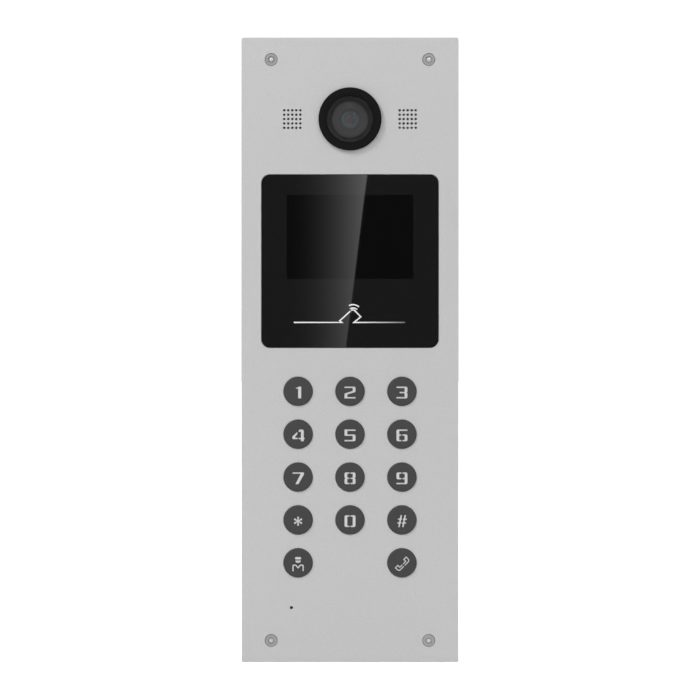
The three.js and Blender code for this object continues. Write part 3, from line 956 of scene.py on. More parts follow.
class GeometryTree:
    """A Geometry Nodes tree with named inputs, built in code and run once for each piece."""

    def __init__(self, name: str, inputs: dict[str, str]) -> None:
        """Make an empty tree.

        Args:
            name: The tree's name.
            inputs: Each input's socket type by its name, after the geometry itself.
        """
        self.tree = bpy.data.node_groups.new(name, "GeometryNodeTree")
        self.sockets: dict[str, str] = {}
        for label, kind in {"Geometry": "NodeSocketGeometry", **inputs}.items():
            item = self.tree.interface.new_socket(label, in_out="INPUT", socket_type=kind)
            self.sockets[label] = item.identifier
        self.tree.interface.new_socket("Geometry", in_out="OUTPUT", socket_type="NodeSocketGeometry")
        self.given = add_node(self.tree, "NodeGroupInput").outputs

    def end(self, geometry: Socket) -> None:
        """Close the tree: the Finish input's material goes on the faces of the first slot.

        Args:
            geometry: What the tree has made.
        """
        index = add_node(self.tree, "GeometryNodeInputMaterialIndex").outputs[0]
        first = add_node(self.tree, "ShaderNodeMath", {0: index, 1: 0.5}, operation="LESS_THAN")
        set_finish = add_node(self.tree, "GeometryNodeSetMaterial", {
            "Geometry": geometry, "Selection": first.outputs[0], "Material": self.given["Finish"]})
        add_node(self.tree, "NodeGroupOutput", {"Geometry": set_finish.outputs["Geometry"]})

    def run(self, piece: Piece, name: str, smooth: float = 32.0, **values: object) -> Piece:
        """Run the tree on an object.

        Args:
            piece: The object, which is used up.
            name: The result's name.
            smooth: Edges sharper than this many degrees stay sharp.
            values: The inputs' values, with underscores for the spaces in their names.

        Returns:
            A plain mesh object.
        """
        modifier = piece.modifiers.new(self.tree.name, "NODES")
        modifier.node_group = self.tree
        for label, value in values.items():
            modifier[self.sockets[label.replace("_", " ")]] = value
        return evaluated(piece, name, smooth)


class Drill(GeometryTree):
    """Cuts a copy of a cutter out of a solid at each point of a mesh."""

    def __init__(self) -> None:
        """Build the tree."""
        super().__init__("drill_at_points", {
            "Places": "NodeSocketObject", "Cutter": "NodeSocketObject",
            "Finish": "NodeSocketMaterial"})
        places, cutter = (
            add_node(self.tree, "GeometryNodeObjectInfo", {"Object": self.given[name]})
            for name in ("Places", "Cutter"))
        copies = add_node(self.tree, "GeometryNodeInstanceOnPoints", {
            "Points": places.outputs["Geometry"], "Instance": cutter.outputs["Geometry"]})
        real = add_node(self.tree, "GeometryNodeRealizeInstances", {
            "Geometry": copies.outputs["Instances"]})
        cut = add_node(self.tree, "GeometryNodeMeshBoolean", {
            "Mesh 1": self.given["Geometry"], "Mesh 2": real.outputs["Geometry"]},
            operation="DIFFERENCE")
        self.end(cut.outputs["Mesh"])

    def cut(self, piece: Piece, cutter: Piece, places: Sequence[Vector], finish: Finish) -> Piece:
        """Cut the cutter's copies out of a piece.

        Args:
            piece: The solid, which is used up.
            cutter: The cutter at the origin, which is used up.
            places: Where each copy goes, in millimetres.
            finish: The result's finish.

        Returns:
            The drilled solid.
        """
        points = point_mesh(places)
        drilled = self.run(piece, piece.name + "_drilled", Places=points, Cutter=cutter,
                           Finish=finish.material())
        for spent in (points, cutter):
            bpy.data.objects.remove(spent)
        return drilled


class Copies(GeometryTree):
    """Puts a copy of a small part at each point of a mesh, each turned a little by chance."""

    def __init__(self) -> None:
        """Build the tree."""
        super().__init__("copies_at_points", {
            "Part": "NodeSocketObject", "Largest Turn": "NodeSocketFloat",
            "Seed": "NodeSocketInt", "Finish": "NodeSocketMaterial"})
        part = add_node(self.tree, "GeometryNodeObjectInfo", {"Object": self.given["Part"]})
        least = add_node(self.tree, "ShaderNodeMath", {
            0: self.given["Largest Turn"], 1: -1.0}, operation="MULTIPLY")
        angle = add_node(self.tree, "FunctionNodeRandomValue", {
            2: least.outputs[0], 3: self.given["Largest Turn"], "Seed": self.given["Seed"]},
            data_type="FLOAT")
        euler = add_node(self.tree, "ShaderNodeCombineXYZ", {"Y": angle.outputs[1]})
        turn = add_node(self.tree, "FunctionNodeEulerToRotation", {"Euler": euler.outputs["Vector"]})
        copies = add_node(self.tree, "GeometryNodeInstanceOnPoints", {
            "Points": self.given["Geometry"], "Instance": part.outputs["Geometry"],
            "Rotation": turn.outputs["Rotation"]})
        real = add_node(self.tree, "GeometryNodeRealizeInstances", {
            "Geometry": copies.outputs["Instances"]})
        self.end(real.outputs["Geometry"])

    def make(self, name: str, part: Piece, places: Sequence[Vector],
             finish: Finish, turn: float = 0.0, seed: int = 1) -> Piece:
        """Make one piece of many copies.

        Args:
            name: The piece's name.
            part: The part at the origin, which is used up.
            places: Where each copy goes, in millimetres.
            finish: The copies' finish.
            turn: The largest turn either way, in degrees.
            seed: The seed of the turns.

        Returns:
            The piece.
        """
        piece = self.run(point_mesh(places), name, Part=part, Seed=seed,
                         Largest_Turn=math.radians(turn), Finish=finish.material())
        bpy.data.objects.remove(part)
        return piece


def point_mesh(places: Sequence[Vector]) -> Piece:
    """Make a mesh of loose points, in metres, from places in millimetres.

    Args:
        places: The points.

    Returns:
        The mesh's object.
    """
    data = bpy.data.meshes.new("places")
    data.from_pydata([Vector(place) * MM for place in places], [], [])
    return in_scene("places", data)


def fit(piece: Piece, slot: str, *nodes: str, body: str = STATION) -> None:
    """Tie a finished piece to the frame.

    Args:
        piece: The piece.
        slot: Not used.
        nodes: The CAD nodes that it stands for.
        body: The body that it rides on.
    """
    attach(piece, body)
    if nodes:
        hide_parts(*nodes)
    LOG.info("%s: %d faces on %s", piece.name, len(piece.data.polygons), body)


def dress(node: str, *finishes: Finish) -> None:
    """Give a CAD node that stays its finish.

    Args:
        node: The node's name.
        finishes: One for each material slot.
    """
    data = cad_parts[node].data
    data.materials.clear()
    for finish in finishes:
        data.materials.append(finish.material())
    LOG.info("%s: kept from the frame", node)


def column_rows() -> tuple[float, float, float]:
    """Give the heights of the columns between the housing and the panel."""
    housing = Place.of("rear_housing")
    return (housing.high.z - COLUMN_INSET, COLUMN_MIDDLE, housing.low.z + COLUMN_INSET)


# ---- security screw


@dataclass
class SecurityScrew:
    """A countersunk screw with a six-lobed socket and a pin standing in it."""

    head: float = 3.87
    shank: float = 1.95
    socket: float = 2.35
    lobe: float = 0.45
    depth: float = 1.2
    pin: float = 1.25
    pitch: float = 0.7
    thread: float = 0.36
    edge: float = 0.12
    side: float = 1.0
    length: float = 17.9
    sides: int = 48

    def build(self) -> Piece:
        """Build the screw with the middle of its head's face at the origin.

        Returns:
            The screw.
        """
        shell = Shell()
        rim = shell.ring(Circle(0, 0, self.head - self.edge, self.sides).points(), 0.0)
        socket = shell.sink(Lobes(0, 0, self.socket, self.lobe), [
            (0.1, 0.0), (0.0, 0.12), (0.0, self.depth)])
        shell.face(rim, [socket[0]])
        # The pin's faces take slot 1, the lighter steel that paints its highlight.
        pin = shell.sink(Circle(0, 0, self.pin, 24), [
            (0.0, self.depth), (0.0, 0.3), (-0.12, 0.14), (-0.4, 0.05), (-0.8, 0.0)], slot=1)
        shell.face(socket[-1], [pin[0]])
        shell.face(pin[-1], slot=1)
        outside = shell.sink(Circle(0, 0, 0.0, self.sides), self.outside())
        shell.wall(rim, outside[0])
        shell.face(outside[-1])
        return shell.finish("security_screw", SCREW_STEEL, PIN_HIGHLIGHT_STEEL, smooth=35)

    def outside(self) -> Profile:
        """Give the head's cone, the plain neck, the thread and the end.

        Returns:
            Pairs of radius and y, from the head's edge.
        """
        neck = self.side + self.head - self.shank
        profile = [(self.head, self.edge), (self.head, self.side), (self.shank, neck),
                   (self.shank, neck + 1.5)]
        y = neck + 1.5
        while y + self.pitch < self.length - 0.6:
            profile += [(self.shank - self.thread, y + 0.15), (self.shank, y + self.pitch / 2),
                        (self.shank - self.thread, y + self.pitch * 0.85)]
            y += self.pitch
        return [*profile, (self.shank - self.thread, self.length - 0.3),
                (self.shank - 0.8, self.length)]


# ---- front panel


@dataclass
class FrontPanel:
    """The aluminium panel, with everything that is cut in it, its posts and its screws."""

    drill: Drill
    copies: Copies
    keys: dict[str, Vector]
    corner: float = 1.25
    edge: float = 0.2
    hole_edge: float = 0.08
    key_hole: float = 9.5
    camera_hole: float = 17.4
    microphone_hole: float = 1.0
    countersink: float = 4.15
    countersink_wall: float = 1.0
    screw_hole: float = 2.25
    pocket_gap: float = 0.28
    pocket_corner: float = 5.75
    pocket_floor: float = -3.25
    opening: RoundedRectangle = field(
        default_factory=lambda: RoundedRectangle(0, 57.5, 104, 101, 3, 8))
    grille_rows: int = 5
    grille_pitch: Point = (2.6, 2.83)
    grille_hole: float = 0.8
    grille_edge: float = 0.1
    housing_post: float = 3.0
    key_posts: Point = (16.8, 2.5)
    bracket_posts: Point = (40.0, 2.75)
    bracket_rows: Point = (3.0, 111.5)
    post_gap: float = 0.25

    def __post_init__(self) -> None:
        """Read the panel's place from the frame."""
        self.place = Place.of("faceplate")
        self.front = self.place.low.y
        self.rear = Place.of("wall_gasket").low.y
        self.glass = Place.of("display_glass")
        self.camera = Place.of("camera_bezel").centre
        self.microphone = Place.of("mic_boot").centre
        self.screws = [Place.of(f"panel_screw_{number}") for number in range(1, 5)]
        self.speakers = [Place.of(f"speaker_mesh_{side}") for side in ("left", "right")]

    def build(self) -> None:
        """Build the panel and its screws."""
        panel = self.drilled(self.plate())
        panel.name = "front_panel"
        fit(panel, "panel_aluminium", "faceplate")
        heads = [Vector((p.centre.x, p.low.y, p.centre.z)) for p in self.screws]
        screws = self.copies.make("panel_screws", SecurityScrew().build(), heads,
                                  SCREW_STEEL, turn=30, seed=4)
        fit(screws, "screw_steel", *(f"panel_screw_{number}" for number in range(1, 5)))

    def plate(self) -> Piece:
        """Build the plate with its large holes and posts.

        Returns:
            The plate, before its grilles are drilled.
        """
        shell = Shell()
        place = self.place
        outer = shell.sink(place.outline(self.corner), [
            *((radius, y) for radius, y in rounded_step(0.0, self.front, self.edge, 1)),
            (0.0, self.rear - 0.2), (-0.2, self.rear)])
        through = [self.hole(shell, hole) for hole in self.holes()]
        through += [self.sunk(shell, screw.centre) for screw in self.screws]
        through.append(self.pocket(shell))
        shell.face(outer[0], [rings[0] for rings in through])
        posts = [self.post(shell, *post) for post in self.posts()]
        shell.face(outer[-1], [*(rings[-1] for rings in through), *posts])
        return shell.finish("plate", PANEL_ALUMINIUM)

    def holes(self) -> list[Circle]:
        """List the plain round holes.

        Returns:
            A circle for each.
        """
        keys = [Circle(key.x, key.z, self.key_hole, 72) for key in self.keys.values()]
        camera = Circle(self.camera.x, self.camera.z, self.camera_hole, 96)
        microphone = Circle(self.microphone.x, self.microphone.z, self.microphone_hole, 24)
        return [*keys, camera, microphone]

    def hole(self, shell: Shell, outline: Circle) -> list[Ring]:
        """Cut a round hole with its front edge broken."""
        return shell.sink(outline, [(self.hole_edge, self.front),
                                    (0.0, self.front + self.hole_edge), (0.0, self.rear)])

    def sunk(self, shell: Shell, centre: Vector) -> list[Ring]:
        """Cut a countersunk screw hole."""
        flare = self.countersink - self.screw_hole
        return shell.sink(Circle(centre.x, centre.z, self.screw_hole, 48), [
            (flare + 0.05, self.front), (flare, self.front + 0.05),
            (flare, self.front + self.countersink_wall),
            (0.0, self.front + self.countersink_wall + flare), (0.0, self.rear)])

    def pocket(self, shell: Shell) -> list[Ring]:
        """Cut the glass's pocket and the opening in its floor.

        Args:
            shell: The plate so far.

        Returns:
            Its rings, front to rear.
        """
        glass = self.glass
        outline = RoundedRectangle(glass.centre.x, glass.centre.z, glass.size.x + 2 * self.pocket_gap,
                                   glass.size.z + 2 * self.pocket_gap, self.pocket_corner)
        return shell.loft([
            (outline.points(self.hole_edge), self.front),
            (outline.points(), self.front + self.hole_edge), (outline.points(), self.pocket_floor),
            (self.opening.points(), self.pocket_floor), (self.opening.points(), self.rear)])

    def posts(self) -> list[tuple[float, float, float, float]]:
        """List the posts on the panel's rear: x, z, radius and top.

        Returns:
            The four values of each post.
        """
        rows = sorted({round(key.z, 2) for key in self.keys.values()}, reverse=True)
        between = [(rows[0] + rows[1]) / 2, (rows[3] + rows[4]) / 2]
        groups = ((*self.key_posts, "keypad_board", between),
                  (*self.bracket_posts, "lcd_bracket", self.bracket_rows),
                  (COLUMN_X, self.housing_post, "rear_housing", column_rows()))
        return [(side * x, z, radius, Place.of(node).low.y - self.post_gap)
                for x, radius, node, levels in groups for z in levels for side in (-1, 1)]

    def post(self, shell: Shell, x: float, z: float, radius: float, top: float) -> Ring:
        """Raise a tapped post with a filleted foot, and give the ring at its foot.

        Args:
            shell: The plate so far.
            x: Its place across the panel.
            z: Its place up the panel.
            radius: Its radius.
            top: Where its free end lies.

        Returns:
            The ring at its foot.
        """
        outer = shell.sink(Circle(x, z, radius, 32), [
            (0.3, self.rear), (0.08, self.rear + 0.12), (0.0, self.rear + 0.35),
            (0.0, top - 0.15), (-0.15, top)])
        bore = shell.sink(Circle(x, z, radius * 0.45, 20), [
            (0.1, top), (0.0, top - 0.1), (0.0, self.rear - 0.5)])
        shell.face(outer[-1], [bore[0]])
        shell.face(bore[-1])
        return outer[0]

    def drilled(self, plate: Piece) -> Piece:
        """Drill both loudspeaker grilles.

        Args:
            plate: The plate, which is used up.

        Returns:
            The drilled plate.
        """
        cutter = Shell()
        cutter.turn([(0, self.front - 0.5), (self.grille_hole + self.grille_edge + 0.5,
                                             self.front - 0.5),
                     (self.grille_hole, self.front + self.grille_edge),
                     (self.grille_hole, self.rear + 0.5), (0, self.rear + 0.5)], sides=20)
        middle = (self.grille_rows - 1) / 2
        places = [Vector((speaker.centre.x + (column - middle) * self.grille_pitch[0], 0,
                          speaker.centre.z + (row - middle) * self.grille_pitch[1]))
                  for speaker in self.speakers
                  for row in range(self.grille_rows) for column in range(self.grille_rows)]
        return self.drill.cut(plate, cutter.finish("cutter", PANEL_ALUMINIUM), places,
                              PANEL_ALUMINIUM)


# ---- seals and gaskets


@dataclass
class Seals:
    """The foam ring between panel and wall, and the seal under the housing's rim."""

    gasket_width: float = 6.5
    seal_width: float = 2.0
    edge: float = 0.25

    def build(self) -> None:
        """Build both rings."""
        self.ring("wall_foam_ring", "wall_gasket", self.gasket_width, 1.0)
        self.ring("housing_foam_seal", "housing_seal", self.seal_width, 4.0)

    def ring(self, name: str, node: str, width: float, corner: float) -> None:
        """Build a flat foam ring with soft edges in place of a node.

        Args:
            name: The piece's name.
            node: The node.
            width: The width of the foam.
            corner: The outer corners' radius.
        """
        place = Place.of(node)
        inner = RoundedRectangle(place.centre.x, place.centre.z, place.size.x - 2 * width,
                                 place.size.z - 2 * width, max(corner - width, 0.6))
        front, rear = place.low.y, place.high.y
        shell = Shell()
        levels = [(-self.edge, front), (0.0, front + self.edge), (0.0, rear - self.edge),
                  (-self.edge, rear)]
        outside = shell.sink(place.outline(corner), levels)
        inside = shell.sink(inner, [(-grow, y) for grow, y in levels])
        shell.wall(outside[0], inside[0])
        shell.wall(outside[-1], inside[-1])
        fit(shell.finish(name, FOAM_RUBBER), "black_foam", node)


# ---- display and card reader


@dataclass
class Display:
    """The display's glass, with the card reader's sign printed on it."""

    window: Point = (82.0, 54.4)
    corner: float = 5.5
    edge: float = 0.12
    line: float = 0.8
    ink: float = 0.03
    sign_z: float = -39.65

    def __post_init__(self) -> None:
        """Read the glass's place from the frame."""
        self.glass = Place.of("display_glass")
        self.lcd = Place.of("lcd_panel")

    def build(self) -> None:
        """Build the glass and its print."""
        fit(self.pane(), "display_glass", "display_glass")
        fit(self.sign(), "display_glass")

    def pane(self) -> Piece:
        """Build the glass, with the display's window told apart from the black print.

        Returns:
            The glass.
        """
        place = self.glass
        shell = Shell()
        outer = shell.sink(place.outline(self.corner, 12), [
            *((radius, y) for radius, y in rounded_step(0.0, place.low.y, self.edge, 1)),
            (0.0, place.high.y - 0.2), (-0.2, place.high.y)])
        window = shell.ring(RoundedRectangle(self.lcd.centre.x, self.lcd.centre.z,
                                             *self.window, 0.3, 3).points(), place.low.y)
        shell.face(outer[0], [window])
        shell.face(window, slot=1)
        shell.face(outer[-1])
        return shell.finish("display_cover_glass", PRINTED_GLASS, DISPLAY_OFF)

    def sign(self) -> Piece:
        """Print the sign: a card that rises from a line, under two waves.

        Returns:
            The printed sign.
        """
        shell = Shell()
        for path in self.strokes():
            self.stroke(shell, path)
        return shell.finish("card_reader_sign", FADING_INK)

    def strokes(self) -> list[list[Point]]:
        """Give the sign's lines, from the middle of the glass.

        Returns:
            Each line's points.
        """
        left = [(-36.4, 0.0), (-5.2, 0.0), (-6.7, 1.0), (0.25, 7.35)]
        crown = arc_through((0.6, 7.75), (1.9, 8.05), (3.1, 7.65))
        right = [*crown, (7.0, 3.6), (2.5, 0.0), (35.6, 0.0)]
        waves = [arc_through((0.0, 8.85), (2.3, 9.3), (4.6, 8.4)),
                 arc_through((-0.65, 10.9), (2.3, 11.5), (5.8, 10.0))]
        return [left, right, *waves]

    def stroke(self, shell: Shell, path: list[Point]) -> None:
        """Lay one line of ink along a path on the glass.

        Args:
            shell: The sign so far.
            path: The line's points.
        """
        left, right = [], []
        for index, point in enumerate(path):
            here = Vector(point)
            before = here - Vector(path[max(index - 1, 0)])
            after = Vector(path[min(index + 1, len(path) - 1)]) - here
            ways = [way.normalized() for way in (before, after) if way.length > 0]
            mean = sum(ways, Vector((0, 0))).normalized()
            reach = self.line / 2 / max(mean.dot(ways[0]), 0.35)
            side = Vector((-mean.y, mean.x)) * reach
            left.append(tuple(here + side))
            right.append(tuple(here - side))
        outline = placed([*left, *reversed(right)], self.glass.centre.x,
                         self.glass.centre.z + self.sign_z)
        near = self.glass.low.y - self.ink
        rings = shell.loft([(outline, near), (outline, self.glass.low.y + self.ink)])
        shell.face(rings[0])
        shell.face(rings[-1])


# ---- camera


@dataclass
class Camera:
    """The camera behind its window, from the bezel in to the board."""

    flange: float = 20.4
    tube: float = 17.0
    mouth: float = 15.75
    bore: float = 14.95
    window: float = 15.7
    step: float = 0.9
    sides: int = 128

    def __post_init__(self) -> None:
        """Read the camera's places from the frame."""
        self.place = Place.of("camera_bezel")
        self.panel = Place.of("display_glass").low.y

    def turned(self, name: str, profile: Profile, finish: Finish, closed: bool = True) -> Piece:
        """Turn a piece about the camera's axis."""
        return turned(name, profile, self.place.axis, self.sides, finish, closed)

    def build(self) -> None:
        """Build the camera's pieces."""
        fit(self.bezel(), "camera_plastic", "camera_bezel")
        fit(self.pane(), "clear_window", "camera_window")
        fit(self.shroud(), "camera_plastic", "camera_shroud")
        fit(self.barrel(), "lens_metal", "lens_barrel")
        fit(self.front_glass(), "lens_glass", "front_lens")
        fit(self.inner_cell(), "lens_metal")
        fit(self.rear_glass(), "lens_glass")
        dress("camera_nut", INNER_ABS)
        dress("camera_board", BOARD)

    def bezel(self) -> Piece:
        """Build the black ring and the tube behind it.

        Returns:
            The bezel.
        """
        front = self.place.low.y
        flange_rear = self.panel - 0.25
        ledge = self.panel - 0.5
        profile = [
            (self.mouth, ledge), *reversed(rounded_step(self.mouth, front, 0.12, -1)),
            *rounded_step(self.flange, front, self.step, 1, 6), (self.flange, flange_rear - 0.1),
            (self.flange - 0.1, flange_rear), (self.tube, flange_rear),
            (self.tube, self.place.high.y - 0.3), (self.tube - 0.3, self.place.high.y),
            (self.bore, self.place.high.y), (self.bore, ledge)]
        return self.turned("camera_bezel_ring", profile, BEZEL_PLASTIC)

    def pane(self) -> Piece:
        """Build the flat clear window with its black border.

        Returns:
            The window.
        """
        front, rear = Place.of("camera_window").low.y, Place.of("camera_window").high.y
        rim = self.window - 0.1
        shell = Shell()
        for slot, profile in (
                (0, [(0, front), (self.bore, front)]),
                (1, [(self.bore, front), (rim, front), (self.window, front + 0.1)]),
                (0, [(self.window, front + 0.1), (self.window, rear), (0, rear)])):
            shell.turn(profile, *self.place.axis, self.sides, slot=slot)
        return shell.finish("camera_window_pane", CAMERA_WINDOW, WINDOW_PRINT)

    def shroud(self) -> Piece:
        """Build the funnel, with a fine rim at each end.

        Returns:
            The funnel.
        """
        place = Place.of("camera_shroud")
        front, rear = place.low.y, place.high.y
        profile = [(14.65, rear), (14.65, front), (14.45, front), (14.35, front + 0.15),
                   (13.95, front + 0.3), (12.0, rear - 0.75), (11.75, rear - 0.62),
                   (11.6, rear - 0.35), (11.6, rear)]
        return self.turned("camera_funnel", profile, SHROUD_PLASTIC)

    def barrel(self) -> Piece:
        """Build the lens barrel's stepped front, its flange and its rear tube.

        Returns:
            The barrel.
        """
        place = Place.of("lens_barrel")
        front = place.low.y
        profile = [
            (7.1, front + 1.75), (7.1, front + 1.0), (6.5, front + 0.8), (6.45, front + 0.3),
            (6.6, front + 0.1), (6.9, front), (7.4, front), (12.6, front), (12.75, front + 0.15),
            (12.75, front + 1.75), (9.0, front + 1.75), (9.0, front + 4.5), (6.0, front + 4.5),
            (6.0, place.high.y), (4.0, place.high.y), (4.0, front + 4.25), (5.5, front + 4.25),
            (5.5, front + 1.75)]
        return self.turned("lens_barrel_body", profile, LENS_METAL)

    def front_glass(self) -> Piece:
        """Build the front element, a clear meniscus.

        Returns:
            The element.
        """
        place = Place.of("front_lens")
        front = place.low.y
        profile = [(6.8, front + 1.8), (6.8, front + 1.5), *dome(6.75, front + 1.48, front, 12),
                   *reversed(dome(6.2, front + 1.8, front + 0.55, 12))]
        return self.turned("front_lens_element", profile, COATED_GLASS)

    def inner_cell(self) -> Piece:
        """Build the cell behind the front element, a cone that narrows to the iris.

        Returns:
            The cell.
        """
        place = Place.of("front_lens")
        front, rear = place.low.y + 1.9, place.high.y
        profile = [(6.8, rear), (6.8, front), (6.3, front), (5.9, front + 0.12), (4.3, front + 0.45),
                   (4.1, front + 0.3), (3.85, front + 0.32), (3.3, front + 1.2), (3.0, front + 1.3),
                   (0.0, front + 1.35), (0.0, rear)]
        return self.turned("lens_inner_cell", profile, CELL_METAL, closed=False)

    def rear_glass(self) -> Piece:
        """Build the small element that shows in the iris.

        Returns:
            The element.
        """
        place = Place.of("front_lens")
        face = place.low.y + 3.25
        profile = [(0, face + 0.1), (2.6, face + 0.1), *dome(2.6, face, face - 0.9, 10)]
        # The element's warm tint is a painted reflection.
        return turned("lens_rear_element", profile, self.place.axis, 64, REAR_GLASS)


# ---- sound


@dataclass
class Sound:
    """The loudspeakers and their cloths, and the microphone in its boot."""

    sides: int = 64

    def build(self) -> None:
        """Build the pieces on both sides of the camera, and the microphone's."""
        for side in ("left", "right"):
            fit(self.cloth(side), "speaker_cloth", f"speaker_mesh_{side}")
            fit(self.speaker(side), "speaker_plastic", f"speaker_{side}")
        fit(self.boot(), "black_foam", "mic_boot")
        fit(self.capsule(), "plain_steel", "mic_capsule")

    def cloth(self, side: str) -> Piece:
        """Build the cloth behind a grille.

        Args:
            side: Left or right.

        Returns:
            The cloth.
        """
        place = Place.of(f"speaker_mesh_{side}")
        shell = Shell()
        shell.block(place.low, place.high, 0.1)
        return shell.finish(f"speaker_cloth_{side}", ACOUSTIC_CLOTH)

    def speaker(self, side: str) -> Piece:
        """Build a loudspeaker: dust cap, cone, rolled surround, basket and magnet.

        Args:
            side: Left or right.

        Returns:
            The loudspeaker.
        """
        place = Place.of(f"speaker_{side}")
        front, rear = place.low.y, place.high.y
        outer = place.size.z / 2
        profile = [(0, front + 0.9), (2.5, front + 1.1), (4.0, front + 2.2), (9.8, front + 0.9),
                   (10.3, front + 0.3), (11.2, front + 0.05), (12.0, front + 0.35),
                   (12.4, front + 0.6), (outer - 0.3, front + 0.5), (outer, front + 0.7),
                   (outer, front + 1.6), (12.6, front + 1.8), (9.2, front + 6.0),
                   (8.0, front + 6.0), (8.0, rear - 0.4), (7.6, rear), (0, rear)]
        return turned(f"loudspeaker_{side}", profile, place.axis, self.sides, SPEAKER_PAPER)

    def boot(self) -> Piece:
        """Build the microphone's rubber boot.

        Returns:
            The boot.
        """
        place = Place.of("mic_boot")
        front, rear = place.low.y, place.high.y
        profile = [(0.4, front), (4.6, front), (5.0, front + 0.4), (5.0, rear - 0.4),
                   (4.6, rear), (3.25, rear), (3.25, front + 1.5), (0.4, front + 1.5)]
        return turned("microphone_boot", profile, place.axis, 48, FOAM_RUBBER, closed=True)

    def capsule(self) -> Piece:
        """Build the microphone's can, with its crimped rim and its hole.

        Returns:
            The can.
        """
        place = Place.of("mic_capsule")
        front, rear = place.low.y, place.high.y
        profile = [(0, front + 0.5), (0.5, front + 0.5), (0.5, front + 0.1), (2.6, front + 0.1),
                   (2.7, front), (2.95, front + 0.15), (2.95, rear - 0.2), (2.7, rear), (0, rear)]
        return turned("microphone_can", profile, place.axis, 40, PLATED_STEEL)


# ---- signs


class Sign(Enum):
    """The signs on the keys, by their keys' names."""

    ONE = "1"
    TWO = "2"
    THREE = "3"
    FOUR = "4"
    FIVE = "5"
    SIX = "6"
    SEVEN = "7"
    EIGHT = "8"
    NINE = "9"
    STAR = "star"
    ZERO = "0"
    HASH = "hash"
    CONCIERGE = "concierge"
    CALL = "call"


@dataclass(frozen=True)
class SignCutter:
    """Gives each sign as stencil outlines, in millimetres from its key's middle.

    half and high are half a figure's width and height, thick and thin its upright and level
    strokes, bend its outer corners, and gap half of a stencil's bridge.
    """

    half: float = 3.6
    high: float = 3.85
    thick: float = 1.9
    thin: float = 0.95
    bend: float = 1.2
    gap: float = 0.32
    drop: float = -0.75

    def outlines(self, sign: Sign) -> list[list[Point]]:
        """Give a sign's closed outlines.

        Args:
            sign: The sign.

        Returns:
            One outline for each cut.
        """
        # The method that draws a sign has the sign's name.
        maker = getattr(self, sign.name.lower())
        drop = 0.0 if sign in (Sign.CONCIERGE, Sign.CALL) else self.drop
        return [placed(outline, 0, drop) for outline in maker()]

    @property
    def strokes(self) -> tuple[float, ...]:
        """A figure's half width and height, level stroke, half bridge and inner half width."""
        return (self.half, self.high, self.thin, self.gap, self.half - self.thick)

    def shape(self, *corners: tuple[float, ...]) -> list[Point]:
        """Give an outline from corners, each with its own rounding or a slight one."""
        whole = tuple((c[0], c[1], c[2] if len(c) > 2 else 0.12) for c in corners)
        return Cornered(whole, 4).points()

    def both(self, outline: list[Point]) -> list[list[Point]]:
        """Give an outline and its mirror image in the upright axis."""
        return [outline, [(-x, z) for x, z in reversed(outline)]]

    def one(self) -> list[list[Point]]:
        """An upright with a flag."""
        h = self.high
        return [self.shape((-1.45, 2.3), (-1.45, 2.85), (0.7, h), (2.05, h), (2.05, -h),
                           (0.0, -h), (0.0, 2.55))]

    def two(self) -> list[list[Point]]:
        """A single stroke with a slanted waist."""
        w, h, t, _, inner = self.strokes
        return [self.shape((-w, h), (w, h, self.bend), (w, 0.3, 1.0), (-inner, -1.3, 0.3),
                           (-inner, t - h), (w, t - h), (w, -h), (-w, -h), (-w, -0.6, 0.9),
                           (inner, 1.0, 0.3), (inner, h - t), (-w, h - t))]

    def three(self) -> list[list[Point]]:
        """A notched back with three level strokes."""
        w, h, t, _, inner = self.strokes
        return [self.shape((-w, h), (w, h, self.bend), (w, 0.5, 0.5), (w - 0.6, 0.0, 0.2),
                           (w, -0.5, 0.5), (w, -h, self.bend), (-w, -h), (-w, t - h),
                           (inner, t - h), (inner, -t / 2), (-1.5, -t / 2), (-1.5, t / 2),
                           (inner, t / 2), (inner, h - t), (-w, h - t))]

    def four(self) -> list[list[Point]]:
        """A slanted stroke and an upright, bridged twice.

        Returns:
            Its two outlines.
        """
        h = self.high
        slant = self.shape((-0.45, 2.35), (-3.9, -0.9, 0.9), (-3.6, -2.5, 1.1), (-0.3, -2.5),
                           (-0.3, -1.5), (-1.95, -1.5, 0.2), (-1.95, -1.0, 0.2), (-0.45, 0.75))
        upright = self.shape((0.35, 2.0), (0.35, 3.2, 0.5), (1.2, h, 0.5), (3.7, h, self.bend),
                             (3.7, -1.5), (4.3, -1.5), (4.3, -2.5), (3.7, -2.5), (3.7, -h), (1.8, -h),
                             (1.8, -2.5), (0.35, -2.5), (0.35, -1.5), (1.8, -1.5), (1.8, 2.6))
        return [slant, upright]

    def five(self) -> list[list[Point]]:
        """A single stroke with a level waist."""
        w, h, t, _, inner = self.strokes
        return [self.shape((-w, h), (w, h), (w, h - t), (-inner, h - t), (-inner, 0.65),
                           (w, 0.65, self.bend), (w, -h, self.bend), (-w, -h), (-w, t - h),
                           (inner, t - h), (inner, 0.65 - t), (-w, 0.65 - t, 0.6))]

    def six(self) -> list[list[Point]]:
        """A hooked back and a bowl, bridged above and below.

        Returns:
            Its two outlines.
        """
        w, h, t, g, inner = self.strokes
        back = self.shape((-w, h, self.bend), (w, h), (w, h - t), (-inner, h - t),
                          (-inner, 0.7), (-g, 0.7), (-g, 0.7 - t), (-inner, 0.7 - t),
                          (-inner, t - h), (-g, t - h), (-g, -h), (-w, -h, self.bend))
        bowl = self.shape((g, 0.7), (w, 0.7, self.bend), (w, -h, self.bend), (g, -h),
                          (g, t - h), (inner, t - h), (inner, 0.7 - t), (g, 0.7 - t))
        return [back, bowl]

    def nine(self) -> list[list[Point]]:
        """A six turned over."""
        return [placed(outline, 0, 0, 180) for outline in self.six()]

    def seven(self) -> list[list[Point]]:
        """A level stroke and a slanted one."""
        w, h, t = self.half, self.high, self.thin
        return [self.shape((-w, h), (w + 0.35, h, 0.5), (w + 0.2, h - 1.4, 0.8), (0.2, -h),
                           (-1.8, -h), (w - self.thick, h - t, 0.3), (-w, h - t))]

